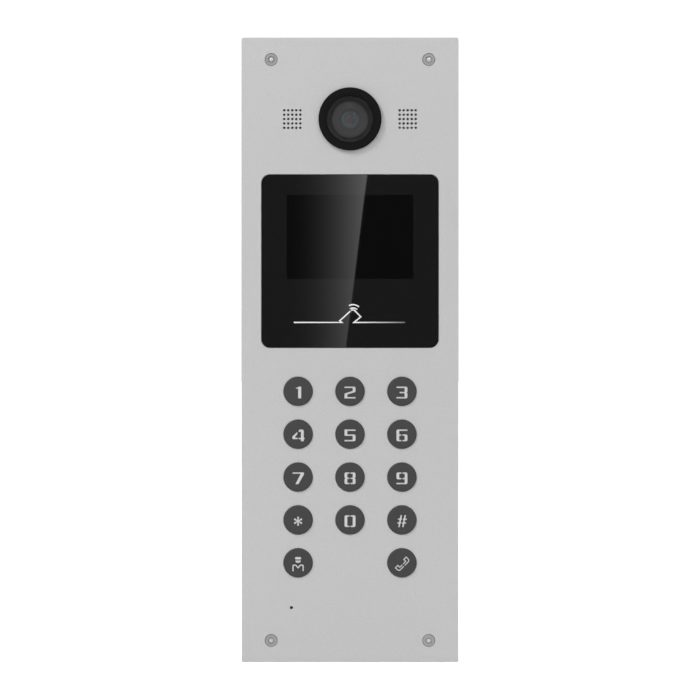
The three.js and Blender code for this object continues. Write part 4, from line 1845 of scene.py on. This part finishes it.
    def eight(self) -> list[list[Point]]:
        """Two notched halves."""
        w, h, t, g, inner = self.strokes
        return self.both(self.shape(
            (-w, h, self.bend), (-g, h), (-g, h - t), (-inner, h - t), (-inner, t / 2), (-g, t / 2),
            (-g, -t / 2), (-inner, -t / 2), (-inner, t - h), (-g, t - h), (-g, -h),
            (-w, -h, self.bend), (-w, -0.5, 0.6), (-w + 0.6, 0, 0.2), (-w, 0.5, 0.6)))

    def zero(self) -> list[list[Point]]:
        """Two halves."""
        w, h, t, g, inner = self.strokes
        return self.both(self.shape(
            (-w, h, self.bend), (-g, h), (-g, h - t), (-inner, h - t), (-inner, t - h),
            (-g, t - h), (-g, -h), (-w, -h, self.bend)))

    def star(self) -> list[list[Point]]:
        """Six arms that widen outwards.

        Returns:
            Its outline.
        """
        corners: list[tuple[float, ...]] = []
        for arm in range(6):
            spread = 30 + 60 * arm
            for reach, offset, bend in ((0.62, -30, 0.1), (3.05, -14, 0.45), (3.05, 14, 0.45)):
                angle = math.radians(spread + offset)
                corners.append((reach * math.cos(angle), reach * math.sin(angle), bend))
        return [self.shape(*corners)]

    def hash(self) -> list[list[Point]]:
        """Two leaning uprights, each with its own half of both level strokes.

        Returns:
            Its two outlines.
        """
        h = 3.95
        half = self.shape((-1.8, h), (-0.75, h), (-0.75, 1.75), (-0.25, 1.75), (-0.25, 0.85),
                          (-0.75, 0.85), (-0.75, -0.65), (-0.25, -0.65), (-0.25, -1.55),
                          (-0.75, -1.55), (-0.75, -h), (-1.8, -h), (-1.8, -1.55),
                          (-2.9, -1.55), (-2.9, -0.65), (-1.8, -0.65), (-1.8, 0.85),
                          (-2.9, 0.85), (-2.9, 1.75), (-1.8, 1.75))
        lean = placed(half, 0.1, 0.0, slant=11)
        return [lean, placed([(-x, -z) for x, z in lean], 0.2, 0.1)]

    def concierge(self) -> list[list[Point]]:
        """A guard: a cap, a face and shoulders drawn as one line.

        Returns:
            Its three outlines.
        """
        cap = self.shape((-2.25, 3.35, 0.9), (-1.3, 3.9, 0.6), (1.3, 3.9, 0.6),
                         (2.25, 3.35, 0.9), (1.7, 2.2, 0.5), (-1.7, 2.2, 0.5))
        face = self.shape((-1.8, 1.6), (1.8, 1.6), (1.6, 0.4, 0.5), (0.6, 0.05, 0.3),
                          (-0.6, 0.05, 0.3), (-1.6, 0.4, 0.5))
        line, foot = 0.85, -5.4
        outer = [(-3.7, foot), (-3.7, -1.0, 1.7), (-1.3, -1.0, 0.6), (0.0, -2.5, 0.3)]
        inner = [(0.0, -3.75, 0.3), (-1.75, -1.0 - line, 0.4), (-3.7 + line, -1.0 - line, 0.9),
                 (-3.7 + line, foot)]
        right = [(-c[0], *c[1:]) for c in reversed(outer[:-1])]
        inner_right = [(-c[0], *c[1:]) for c in reversed(inner[1:])]
        return [cap, face, self.shape(*outer, *right, *inner_right, *inner)]

    def call(self) -> list[list[Point]]:
        """A handset on its slant, drawn as two open halves.

        Returns:
            Its two outlines.
        """
        line, g = 0.72, self.gap
        half = self.shape((g, -1.85), (5.3, -1.85, 2.0), (5.3, 2.0, 0.25), (2.35, 2.0, 0.25),
                          (2.35, 0.25, 0.2), (g, 0.25), (g, 0.25 - line),
                          (2.35 + line, 0.25 - line, 0.2), (2.35 + line, 2.0 - line, 0.2),
                          (5.3 - line, 2.0 - line, 0.2), (5.3 - line, line - 1.85, 1.4),
                          (g, line - 1.85))
        return [placed(outline, 0.45, -0.85, 45) for outline in self.both(half)]


# ---- keypad


@dataclass
class Keypad:
    """Fourteen keys, the silicone mat that returns them and the board behind it."""

    keys: dict[str, Vector]
    cutter: SignCutter = field(default_factory=SignCutter)
    radius: float = 9.3
    flange: float = 10.6
    wall: float = 1.25
    pocket: float = 7.8
    recess: float = 0.12
    slack: float = 0.04
    dome_foot: float = 4.75
    dome_top: float = 3.0
    dome_kept: float = 0.68
    sides: int = 96

    def build(self) -> None:
        """Build every key, then the mat and the board."""
        for sign in Sign:
            self.cap(sign)
            self.light(sign)
        self.mat()
        dress("keypad_board", BOARD)

    def cap(self, sign: Sign) -> None:
        """Build a key's metal cap with its sign cut through.

        Args:
            sign: The key's sign.
        """
        node = f"key_{sign.value}_cap"
        place = Place.of(node)
        x, z = self.keys[sign.value].x, self.keys[sign.value].z
        front, rear = place.low.y, place.high.y
        inside = front + self.wall
        shell = Shell()
        signs = [placed(outline, x, z) for outline in self.cutter.outlines(sign)]
        cuts = [shell.loft([(outline, front), (outline, inside)]) for outline in signs]
        outer = shell.sink(Circle(x, z, 0.0, self.sides), (
            *rounded_step(self.radius, front, 0.35, 1, 5),
            (self.radius, rear - 1.35), (self.radius + 0.15, rear - 1.25),
            (self.flange - 0.1, rear - 1.25), (self.flange, rear - 1.15),
            (self.flange, rear), (self.pocket, rear), (self.pocket, inside)))
        shell.face(outer[0], [rings[0] for rings in cuts])
        shell.face(outer[-1], [rings[-1] for rings in cuts])
        piece = shell.finish(f"key_{sign.value}_metal_cap", KEY_METAL)
        fit(piece, "key_metal", node, body=f"key_{sign.value}")

    def light(self, sign: Sign) -> None:
        """Build the light guide that fills a key's sign from behind.

        Args:
            sign: The key's sign.
        """
        node = f"key_{sign.value}_light"
        place = Place.of(node)
        x, z = self.keys[sign.value].x, self.keys[sign.value].z
        face = place.low.y
        top = Place.of(f"key_{sign.value}_cap").low.y + self.recess
        shell = Shell()
        raised = []
        for outline in self.cutter.outlines(sign):
            points = moved_out(placed(outline, x, z), -self.slack)
            rings = shell.loft([(points, top), (points, face)])
            shell.face(rings[0])
            raised.append(rings[-1])
        plug = self.pocket - 0.25
        body = shell.sink(Circle(x, z, 0.0, 64), (
            (plug - 0.15, face), (plug, face + 0.15), (plug, place.high.y - 2.0),
            (3.2, place.high.y - 2.0), (3.0, place.high.y - 1.8), (3.0, place.high.y - 0.3),
            (2.7, place.high.y)))
        shell.face(body[0], raised)
        shell.face(body[-1])
        piece = shell.finish(f"key_{sign.value}_light_guide", KEY_LIGHT)
        fit(piece, "key_light", node, body=f"key_{sign.value}")

    def mat(self) -> None:
        """Build the mat's sheet and, on it, a dome for each key."""
        place = Place.of("keypad_mat")
        board = Place.of("keypad_board")
        front = board.low.y - 1.0
        sheet = solid("keypad_mat_sheet", place.outline(2.0), [
            (-0.2, front), (0.0, front + 0.2), (0.0, board.low.y)], SILICONE)
        fit(sheet, "silicone", "keypad_mat")
        for name, key in self.keys.items():
            shell = Shell()
            shell.turn([(0, front + 0.4), (self.dome_foot, front + 0.4),
                        (self.dome_foot, front + 0.05), (self.dome_foot - 0.5, front - 0.15),
                        (self.dome_top + 0.35, place.low.y + 0.25),
                        (self.dome_top, place.low.y), (0, place.low.y)], key.x, key.z, 40)
            piece = shell.finish(f"key_{name}_dome", SILICONE)
            fit(piece, "silicone")
            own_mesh(piece)


# ---- housing


@dataclass
class Housing:
    """The moulded rear shell, its screws, its label and the tamper pin."""

    drill: Drill
    copies: Copies
    corner: float = 4.0
    wall: float = 2.5
    rear_edge: float = 2.2
    bay_half: float = 46.5
    bay_top: float = -124.5
    bay_depth: float = 10.0
    slot_foot: float = -150.5
    column: float = 4.0
    counterbore: float = 3.25
    counterbore_depth: float = 3.0
    bore: float = 1.75
    screw_head: float = 2.9
    screw_cross: float = 1.05
    recess: float = 0.35
    tamper_boss: float = 5.5
    label: tuple[float, float, float, float] = (0.0, 20.0, 62.0, 38.0)
    groove: tuple[float, float, float] = (78.0, 2.4, 0.7)
    groove_pitch: float = 7.0
    groove_top: float = 164.0
    grooves: int = 8

    def __post_init__(self) -> None:
        """Read the housing's place from the frame."""
        self.place = Place.of("rear_housing")
        self.tamper = Place.of("tamper_plunger")
        self.columns = [(side * COLUMN_X, z) for side in (-1, 1) for z in column_rows()]

    def build(self) -> None:
        """Build the shell and what belongs on it."""
        fit(self.shell(), "housing_plastic", "rear_housing")
        fit(self.screws(), "screw_steel")
        fit(self.rating_label(), "screw_steel")
        fit(self.tamper_pin(), "housing_plastic", "tamper_plunger", body="tamper")

    def shell(self) -> Piece:
        """Build the shell: a deep tray with a bay moulded into its rear.

        Returns:
            The shell.
        """
        place = self.place
        front, rear = place.low.y, place.high.y
        outline = place.outline(self.corner)
        tray = Shell()
        rounding = [(-self.rear_edge * (1 - math.cos(a)), rear - self.rear_edge
                     + self.rear_edge * math.sin(a))
                    for a in (math.pi / 2 * step / 6 for step in range(7))]
        outside = tray.sink(outline, [(0.0, front), *rounding])
        inside = tray.sink(outline, [(-self.wall, front), (-self.wall, rear - self.wall - 1),
                                     (-self.wall - 0.3, rear - self.wall - 0.3),
                                     (-self.wall - 1, rear - self.wall)])
        tray.wall(outside[0], inside[0])
        tray.face(outside[-1])
        tray.face(inside[-1])
        steps = [(Join.ADD, self.bay_walls()), (Join.ADD, self.posts()), (Join.CUT, self.bay()),
                 (Join.CUT, self.connector_slot()), (Join.CUT, self.label_recess())]
        body = shaped(tray.finish("tray", HOUSING_ABS), steps, "moulded_tray")
        body = self.drill.cut(body, self.screw_cutter(), [
            Vector((x, rear, z)) for x, z in self.columns], HOUSING_ABS)
        body = self.drill.cut(body, self.groove_cutter(), [
            Vector((0, rear, self.groove_top - number * self.groove_pitch))
            for number in range(self.grooves)], HOUSING_ABS)
        return shaped(body, [(Join.CUT, self.tamper_hole())], "rear_housing_shell")

    def bay_walls(self) -> Piece:
        """Build the block that the wiring bay is cut from.

        Returns:
            The block.
        """
        rear = self.place.high.y
        shell = Shell()
        half = self.bay_half + self.wall
        shell.block((-half, rear - self.bay_depth + 1.5 - self.wall, self.place.low.z + 1),
                    (half, rear - 1, self.bay_top + self.wall))
        return shell.finish("bay_walls", HOUSING_ABS)

    def posts(self) -> Piece:
        """Build the screw columns and the tamper pin's guide.

        Returns:
            The columns and the guide.
        """
        rear = self.place.high.y
        shell = Shell()
        for x, z in self.columns:
            shell.turn([(0, self.place.low.y), (self.column, self.place.low.y),
                        (self.column, rear - 1), (0, rear - 1)], x, z, 48)
        shell.turn([(0, rear - 8), (self.tamper_boss, rear - 8), (self.tamper_boss, rear - 1),
                    (0, rear - 1)], self.tamper.centre.x, self.tamper.centre.z, 48)
        return shell.finish("posts", HOUSING_ABS)

    def bay(self) -> Piece:
        """Build the cutter of the wiring bay, which is open at the bottom.

        Returns:
            The cutter.
        """
        rear = self.place.high.y
        floor = rear - self.bay_depth
        low = self.place.low.z - 8
        outline = RoundedRectangle(0, (self.bay_top + low) / 2, 2 * self.bay_half,
                                   self.bay_top - low, 2.0, 5)
        return solid("bay", outline, [(-0.8, floor), (-0.25, floor + 0.25), (0.0, floor + 0.8),
                                      (0.0, rear - 0.6), (0.6, rear), (1.6, rear + 1)])

    def label_recess(self) -> Piece:
        """Build the cutter of the label's shallow recess.

        Returns:
            The cutter.
        """
        x, z, width, height = self.label
        rear = self.place.high.y
        return solid("label_recess", RoundedRectangle(x, z, width + 1, height + 1, 2.5, 5), [
            (0.0, rear - self.recess), (0.0, rear - 0.1), (0.6, rear + 0.5)])

    def screw_cutter(self) -> Piece:
        """Build the cutter of a screw's counterbore and bore, with its mouth at the origin.

        Returns:
            The cutter.
        """
        depth = self.counterbore_depth
        length = self.place.size.y + 1
        profile = [(0, 1), (self.counterbore + 1.3, 1), (self.counterbore, -0.3),
                   (self.counterbore, -depth), (self.bore, -depth), (self.bore, -length),
                   (0, -length)]
        return turned("screw_cutter", profile, (0, 0), 40, HOUSING_ABS)

    def groove_cutter(self) -> Piece:
        """Build the cutter of a grip groove, with its mouth at the origin.

        Returns:
            The cutter.
        """
        width, height, depth = self.groove
        return solid("groove_cutter", RoundedRectangle(0, 0, width, height, height / 2, 6), [
            (-0.6, -depth), (-0.2, -depth + 0.25), (0.0, -0.1), (0.5, 0.5)])

    def connector_slot(self) -> Piece:
        """Build the cutter of the slot in the bay's floor, over the connectors.

        Returns:
            The cutter.
        """
        floor = self.place.high.y - self.bay_depth
        outline = RoundedRectangle(0, (self.bay_top + self.slot_foot) / 2, 2 * self.bay_half,
                                   self.bay_top - self.slot_foot, 0.02, 1)
        return solid("connector_slot", outline, [(0.0, floor - 5), (0.0, floor + 1.2)])

    def tamper_hole(self) -> Piece:
        """Build the cutter of the tamper pin's hole.

        Returns:
            The cutter.
        """
        rear = self.place.high.y
        profile = [(0, rear - 10), (3.25, rear - 10), (3.25, rear - 0.4), (4.65, rear + 1),
                   (0, rear + 1)]
        return turned("tamper_hole", profile, self.tamper.axis, 48, HOUSING_ABS)

    def screws(self) -> Piece:
        """Put a pan-head screw into each column.

        Returns:
            All the screws as one piece.
        """
        shell = Shell()
        socket = self.screw_cross
        rim = shell.sink(Circle(0, 0, self.screw_head, 40), [
            (-0.9, 2.0), (-0.35, 1.85), (0.0, 1.3), (0.0, 0.1), (-0.1, 0.0)])
        cross = tuple((x, z, 0.1) for x, z in (
            (socket, 0.3), (0.3, 0.3), (0.3, socket), (-0.3, socket), (-0.3, 0.3),
            (-socket, 0.3), (-socket, -0.3), (-0.3, -0.3), (-0.3, -socket), (0.3, -socket),
            (0.3, -0.3), (socket, -0.3)))
        slot = shell.sink(Cornered(cross, 2), [(0.0, 2.0), (-0.08, 0.8)])
        shell.face(rim[0], [slot[0]])
        shell.face(slot[-1])
        shank = shell.sink(Circle(0, 0, 1.45, 40), [(0.0, 0.0), (0.0, -36.0)])
        shell.face(rim[-1], [shank[0]])
        shell.face(shank[-1])
        rear = self.place.high.y - self.counterbore_depth
        places = [Vector((x, rear, z)) for x, z in self.columns]
        return self.copies.make("housing_screws", shell.finish("pan_screw", ZINC_STEEL),
                                places, ZINC_STEEL, turn=80, seed=11)

    def rating_label(self) -> Piece:
        """Lay a blank label into its recess.

        Returns:
            The label.
        """
        x, z, width, height = self.label
        floor = self.place.high.y - self.recess
        return solid("blank_rating_label", RoundedRectangle(x, z, width, height, 2.0, 6), [
            (0.0, floor), (0.0, floor + 0.12), (-0.05, floor + 0.16)], LABEL_FILM)

    def tamper_pin(self) -> Piece:
        """Build the sprung pin with its rounded tip and its flange.

        Returns:
            The pin.
        """
        foot, tip = self.tamper.low.y, self.tamper.high.y
        profile = [(0, foot), (2.6, foot), (3.0, foot + 0.4), (3.0, foot + 3.75), (4.0, foot + 3.75),
                   (4.15, foot + 3.9), (4.15, foot + 5.1), (4.0, foot + 5.25), (3.0, foot + 5.25),
                   (3.0, tip - 1.2), (2.75, tip - 0.5), (2.2, tip - 0.12), (1.2, tip), (0, tip)]
        return turned("tamper_pin", profile, self.tamper.axis, 48, INNER_ABS)


# ---- connectors


@dataclass
class Connectors:
    """The network socket and the two rows of screw terminals in the wiring bay."""

    drill: Drill
    copies: Copies
    pitch: float = 5.08
    screw: float = 1.7

    def build(self) -> None:
        """Build the connectors."""
        self.socket()
        self.terminals("lock_terminal")
        self.terminals("power_terminal")

    def socket(self) -> None:
        """Build the shielded socket with its contacts."""
        place = Place.of("network_socket")
        x, z = place.centre.x, place.centre.z
        top = place.high.y
        shell = Shell()
        outer = shell.sink(place.outline(0.6, 3), [(0.0, place.low.y), (0.0, top - 0.3), (-0.3, top)])
        mouth = Cornered(tuple((x + dx, z + dz, 0.2) for dx, dz in (
            (-6, -5.5), (6, -5.5), (6, 3.0), (3, 3.0), (3, 4.4), (1.6, 4.4), (1.6, 5.5),
            (-1.6, 5.5), (-1.6, 4.4), (-3, 4.4), (-3, 3.0), (-6, 3.0))), 2)
        inner = shell.sink(mouth, [(0.15, top), (0.0, top - 0.2), (0.0, place.low.y + 3.5)])
        shell.face(outer[-1], [inner[0]])
        shell.face(inner[-1], slot=1)
        shell.face(outer[0])
        fit(shell.finish("network_socket_shell", PLATED_STEEL, CHIP), "plain_steel", "network_socket")
        spring = Shell()
        spring.block((-0.22, 0, 0), (0.22, 9.0, 0.35), 0.08)
        places = [Vector((x + (number - 3.5) * 1.02, place.low.y + 3.4, z - 5.2))
                  for number in range(8)]
        contacts = self.copies.make("network_socket_contacts", spring.finish("spring", GOLD_CONTACT),
                                    places, GOLD_CONTACT)
        fit(contacts, "plain_steel")

    def terminals(self, node: str) -> None:
        """Build a row of screw terminals in place of a node.

        Args:
            node: The node's name.
        """
        place = Place.of(node)
        ways = round(place.size.x / self.pitch)
        x, z = place.centre.x, place.centre.z
        top = place.high.y
        middles = [x + (way + 0.5 - ways / 2) * self.pitch for way in range(ways)]
        shell = Shell()
        outer = shell.sink(place.outline(0.3, 2), [(0.0, place.low.y), (0.0, top - 0.5), (-0.5, top)])
        wells = [shell.sink(Circle(middle, z + 0.5, 1.9, 28), [
            (0.15, top), (0.0, top - 0.15), (0.0, top - 2.6)]) for middle in middles]
        shell.face(outer[-1], [well[0] for well in wells])
        for well in wells:
            shell.face(well[-1])
        shell.face(outer[0])
        body = shell.finish(node + "_body", TERMINAL_PLASTIC)
        entry = Shell()
        entry.block((-1.5, 0.0, -2.5), (1.5, 3.2, 4.0), 0.3)
        body = self.drill.cut(body, entry.finish("entry", TERMINAL_PLASTIC), [
            Vector((middle, place.low.y + 2.4, place.low.z)) for middle in middles],
            TERMINAL_PLASTIC)
        body.name = node + "_block"
        fit(body, "terminal_plastic", node)
        heads = [Vector((middle, top - 2.4, z + 0.5)) for middle in middles]
        screws = self.copies.make(node + "_screws", self.slotted(), heads, PLATED_STEEL,
                                  turn=70, seed=3)
        fit(screws, "plain_steel")

    def slotted(self) -> Piece:
        """Build a slotted clamp screw with its foot at the origin.

        Returns:
            The screw.
        """
        shell = Shell()
        top = 1.6
        rim = shell.sink(Circle(0, 0, self.screw, 28), [(0.0, 0.0), (0.0, top - 0.15), (-0.15, top)])
        slot = shell.sink(RoundedRectangle(0, 0, 2.9, 0.55, 0.1, 2), [(0.0, top), (0.0, top - 0.8)])
        shell.face(rim[-1], [slot[0]])
        shell.face(slot[-1])
        shell.face(rim[0])
        return shell.finish("clamp_screw", PLATED_STEEL)


# ---- electronics


@dataclass
class Boards:
    """The boards and brackets, which keep their shapes, and the small parts on the main board."""

    copies: Copies
    upper_row: float = -128.6
    lower_row: float = -148.6
    row_ends: Point = (-41.0, 41.0)
    chips: int = 24
    filled: float = 0.72
    package_x: tuple[float, float, float] = (-14.6, 6.2, 26.8)
    capacitor_x: tuple[float, float, float] = (-19.6, 26.5, 42.3)
    capacitor_z: float = -140.0
    seed: int = 5

    def __post_init__(self) -> None:
        """Read the board's rear face, which the connectors stand on."""
        self.top = Place.of("network_socket").low.y

    def build(self) -> None:
        """Dress the inner nodes and fit out the board where the wiring bay shows it."""
        for node, finish in (("main_board", BOARD), ("card_antenna_board", BOARD),
                             ("lcd_panel", CHIP), ("lcd_bracket", INNER_ABS)):
            dress(node, finish)
        self.chip_rows()
        self.packages()
        self.capacitors()

    def chip_rows(self) -> None:
        """Scatter chip resistors along both edges of the connectors' row."""
        chance = random.Random(self.seed)
        places = []
        for row in (self.upper_row, self.lower_row):
            step = (self.row_ends[1] - self.row_ends[0]) / (self.chips - 1)
            for number in range(self.chips):
                if chance.random() < self.filled:
                    places.append(Vector((self.row_ends[0] + number * step, self.top,
                                          row + chance.choice((-1.1, 0.0, 0.9)))))
        chip = Shell()
        chip.block((-0.55, 0, -0.62), (0.55, 0.5, 0.62), 0.06)
        for side in (-1, 1):
            near, far = sorted((side * 0.58, side * 1.0))
            chip.block((near, 0, -0.62), (far, 0.52, 0.62), 0.06, slot=1)
        part = chip.finish("chip_resistor", CHIP, PLATED_STEEL)
        fit(self.copies.make("board_chip_resistors", part, places, CHIP), "circuit_board")

    def packages(self) -> None:
        """Stand moulded circuits with bent leads on the board."""
        package = Shell()
        package.block((-2.4, 0.2, -1.9), (2.4, 1.6, 1.9), 0.15)
        for side in (-1, 1):
            for lead in range(4):
                x = (lead - 1.5) * 1.2
                low, high = sorted((side * 1.95, side * 2.7))
                package.block((x - 0.2, 0.02, low), (x + 0.2, 0.4, high), 0.05, slot=1)
        places = [Vector((x, self.top, self.upper_row - 0.4)) for x in self.package_x]
        part = package.finish("moulded_circuit", CHIP, PLATED_STEEL)
        fit(self.copies.make("board_circuits", part, places, CHIP), "circuit_board")

    def capacitors(self) -> None:
        """Stand aluminium capacitors beside the power terminal."""
        profile = [(0, 0.05), (1.95, 0.05), (1.95, 0.5), (1.85, 0.75), (1.95, 1.0),
                   (1.95, 4.9), (1.8, 5.1), (1.3, 5.1), (1.2, 5.0), (0, 5.0)]
        places = [Vector((x, self.top, self.capacitor_z)) for x in self.capacitor_x]
        part = turned("capacitor", profile, (0, 0), 32, PLATED_STEEL)
        fit(self.copies.make("board_capacitors", part, places, PLATED_STEEL), "circuit_board")


# ---- stage


@dataclass
class Studio:
    """The floor, the lamps, the camera, and the cards that the glass mirrors.

    frame_mm is the width that the camera sees at the glass. Each lamp has its name, its place and
    its side in metres, and its power in watts. The glare card's values are in millimetres.
    """

    lens: float = 180.0
    sensor: float = 36.0
    frame_mm: float = 453.1
    floor_size: float = 40.0
    floor_glow: float = 0.7
    sky_below: float = 0.8
    sky_above: float = 0.62
    sky_seen: float = 1.02
    flag_glow: float = 0.03
    glare_top: Point = (21.9, 226.5)
    glare_foot: Point = (-5.3, 2.6)
    glare_left: float = -90.8
    glare_right: float = 19.2
    glare_span: Point = (-40.0, 240.0)
    glare_power: float = 2.05
    glare_rise: float = 2.8
    lamps: tuple[tuple[str, tuple[float, float, float], float, float], ...] = (
        ("key_lamp", (-1.6, -1.5, 1.9), 0.7, 48.0), ("lens_lamp", (0.85, -2.02, 1.35), 0.42, 5.0),
        ("back_lamp", (0.6, 2.2, 1.2), 1.6, 14.0))

    def build(self) -> None:
        """Set the stage."""
        low, _ = (Vector(corner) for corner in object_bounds())
        self.glass = Place.of("display_glass").low.y * MM
        self.distance = self.frame_mm * MM * self.lens / self.sensor
        self.floor(low.z)
        self.world()
        self.lights()
        self.flag()
        self.glare()
        self.camera()
        bpy.context.scene.view_settings.view_transform = "Standard"

    def camera(self) -> None:
        """Look straight at the panel through a long lens."""
        data = bpy.data.cameras.new("camera")
        data.lens = self.lens
        data.sensor_width = self.sensor
        data.clip_end = 50
        camera = in_scene("camera", data)
        camera.location = (0, self.glass - self.distance, 0)
        camera.rotation_euler = (math.pi / 2, 0, 0)
        bpy.context.scene.camera = camera

    def floor(self, height: float) -> None:
        """Lay a plain pale floor under the panel's lower edge.

        Args:
            height: The floor's height, in metres.
        """
        mesh = bpy.data.meshes.new("floor")
        half = self.floor_size / 2
        mesh.from_pydata([(-half, -half, height), (half, -half, height), (half, half, height),
                          (-half, half, height)], [], [(0, 1, 2, 3)])
        material, tree = blank_material("pale_floor")
        seen = add_node(tree, "ShaderNodeLightPath").outputs["Is Camera Ray"]
        paint = add_node(tree, "ShaderNodeBsdfDiffuse", {"Color": linear("#FFFFFF")})
        glow = add_node(tree, "ShaderNodeEmission", {
            "Color": (1, 1, 1, 1), "Strength": self.floor_glow})
        lit = add_node(tree, "ShaderNodeAddShader", {0: paint.outputs[0], 1: glow.outputs[0]})
        dim = add_node(tree, "ShaderNodeBsdfDiffuse", {"Color": linear("#D8D8D8")})
        mixed = add_node(tree, "ShaderNodeMixShader", {0: seen, 1: dim.outputs[0], 2: lit.outputs[0]})
        add_node(tree, "ShaderNodeOutputMaterial", {"Surface": mixed.outputs[0]})
        mesh.materials.append(material)
        in_scene("floor", mesh)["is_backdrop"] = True

    def world(self) -> None:
        """Surround the object with soft even light, seen as white behind it."""
        world = bpy.data.worlds.new("studio")
        bpy.context.scene.world = world
        world.use_nodes = True
        tree = world.node_tree
        tree.nodes.clear()
        path = add_node(tree, "ShaderNodeLightPath")
        way = add_node(tree, "ShaderNodeTexCoord").outputs["Generated"]
        height = add_node(tree, "ShaderNodeSeparateXYZ", {0: way}).outputs["Z"]
        power = add_node(tree, "ShaderNodeMapRange", {
            "Value": height, "From Min": -1.0, "From Max": 1.0,
            "To Min": self.sky_below, "To Max": self.sky_above})
        soft = add_node(tree, "ShaderNodeBackground", {
            "Color": (1, 1, 1, 1), "Strength": power.outputs["Result"]})
        white = add_node(tree, "ShaderNodeBackground", {
            "Color": (1, 1, 1, 1), "Strength": self.sky_seen})
        mixed = add_node(tree, "ShaderNodeMixShader", {
            0: path.outputs["Is Camera Ray"], 1: soft.outputs[0], 2: white.outputs[0]})
        add_node(tree, "ShaderNodeOutputWorld", {"Surface": mixed.outputs[0]})

    def lights(self) -> None:
        """Hang the lamps, each turned to the object's middle."""
        for name, place, size, power in self.lamps:
            data = bpy.data.lights.new(name, "AREA")
            data.size = size
            data.energy = power
            lamp = in_scene(name, data)
            lamp.location = place
            lamp.rotation_euler = (-Vector(place)).to_track_quat("-Z", "Y").to_euler()

    def card(self, name: str, corners: Sequence[Point], y: float) -> Piece:
        """Hang a flat card that only reflections see.

        Args:
            name: The card's name.
            corners: Its corners, in millimetres.
            y: Where it hangs, in metres.

        Returns:
            The card.
        """
        mesh = bpy.data.meshes.new(name)
        mesh.from_pydata([(x * MM, y, z * MM) for x, z in corners], [], [tuple(range(len(corners)))])
        card = in_scene(name, mesh)
        for kind in ("camera", "diffuse", "shadow", "transmission"):
            setattr(card, f"visible_{kind}", False)
        card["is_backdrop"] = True
        return card

    def flag(self) -> None:
        """Hang a black cloth behind the camera, so that glass facing it stays dark."""
        card = self.card("black_flag", [(-520, -420), (520, -420), (520, 620), (-520, 620)],
                         self.glass - self.distance - 0.05)
        material, tree = blank_material("black_cloth")
        glow = add_node(tree, "ShaderNodeEmission", {
            "Color": (1, 1, 1, 1), "Strength": self.flag_glow})
        add_node(tree, "ShaderNodeOutputMaterial", {"Surface": glow.outputs[0]})
        card.data.materials.append(material)

    def glare(self) -> None:
        """Hang a card that brightens towards its slanted edge, for a glare on the glass."""
        top, foot = self.glare_top, self.glare_foot
        lean = (top[0] - foot[0]) / (top[1] - foot[1])
        low, high = self.glare_span
        card = self.card("glare_card", [
            (self.glare_left, low), (foot[0] + lean * (low - foot[1]), low),
            (top[0] + lean * (high - top[1]), high), (self.glare_left, high)],
            self.glass - self.distance)
        material, tree = blank_material("graded_glow")
        place = add_node(tree, "ShaderNodeTexCoord").outputs["Object"]
        across = add_node(tree, "ShaderNodeSeparateXYZ", {0: place}).outputs["X"]
        share = add_node(tree, "ShaderNodeMapRange", {
            "Value": across, "From Min": self.glare_left * MM, "From Max": self.glare_right * MM})
        rise = add_node(tree, "ShaderNodeMath", {
            0: share.outputs["Result"], 1: self.glare_rise}, operation="POWER")
        power = add_node(tree, "ShaderNodeMath", {
            0: rise.outputs[0], 1: self.glare_power, 2: self.flag_glow}, operation="MULTIPLY_ADD")
        glow = add_node(tree, "ShaderNodeEmission", {
            "Color": (1, 1, 1, 1), "Strength": power.outputs[0]})
        add_node(tree, "ShaderNodeOutputMaterial", {"Surface": glow.outputs[0]})
        card.data.materials.append(material)


# ---- main


def main() -> None:
    """Build the station piece by piece."""
    logging.basicConfig(level=logging.INFO, format="%(message)s")
    keys = {sign.value: Place.of(f"key_{sign.value}_cap").centre for sign in Sign}
    drill, copies = Drill(), Copies()
    for part in (FrontPanel(drill, copies, keys), Seals(), Display(), Camera(), Sound(), Keypad(keys),
                 Housing(drill, copies), Connectors(drill, copies), Boards(copies), Studio()):
        LOG.info("building %s", type(part).__name__)
        part.build()


if __name__ == "__main__":
    main()
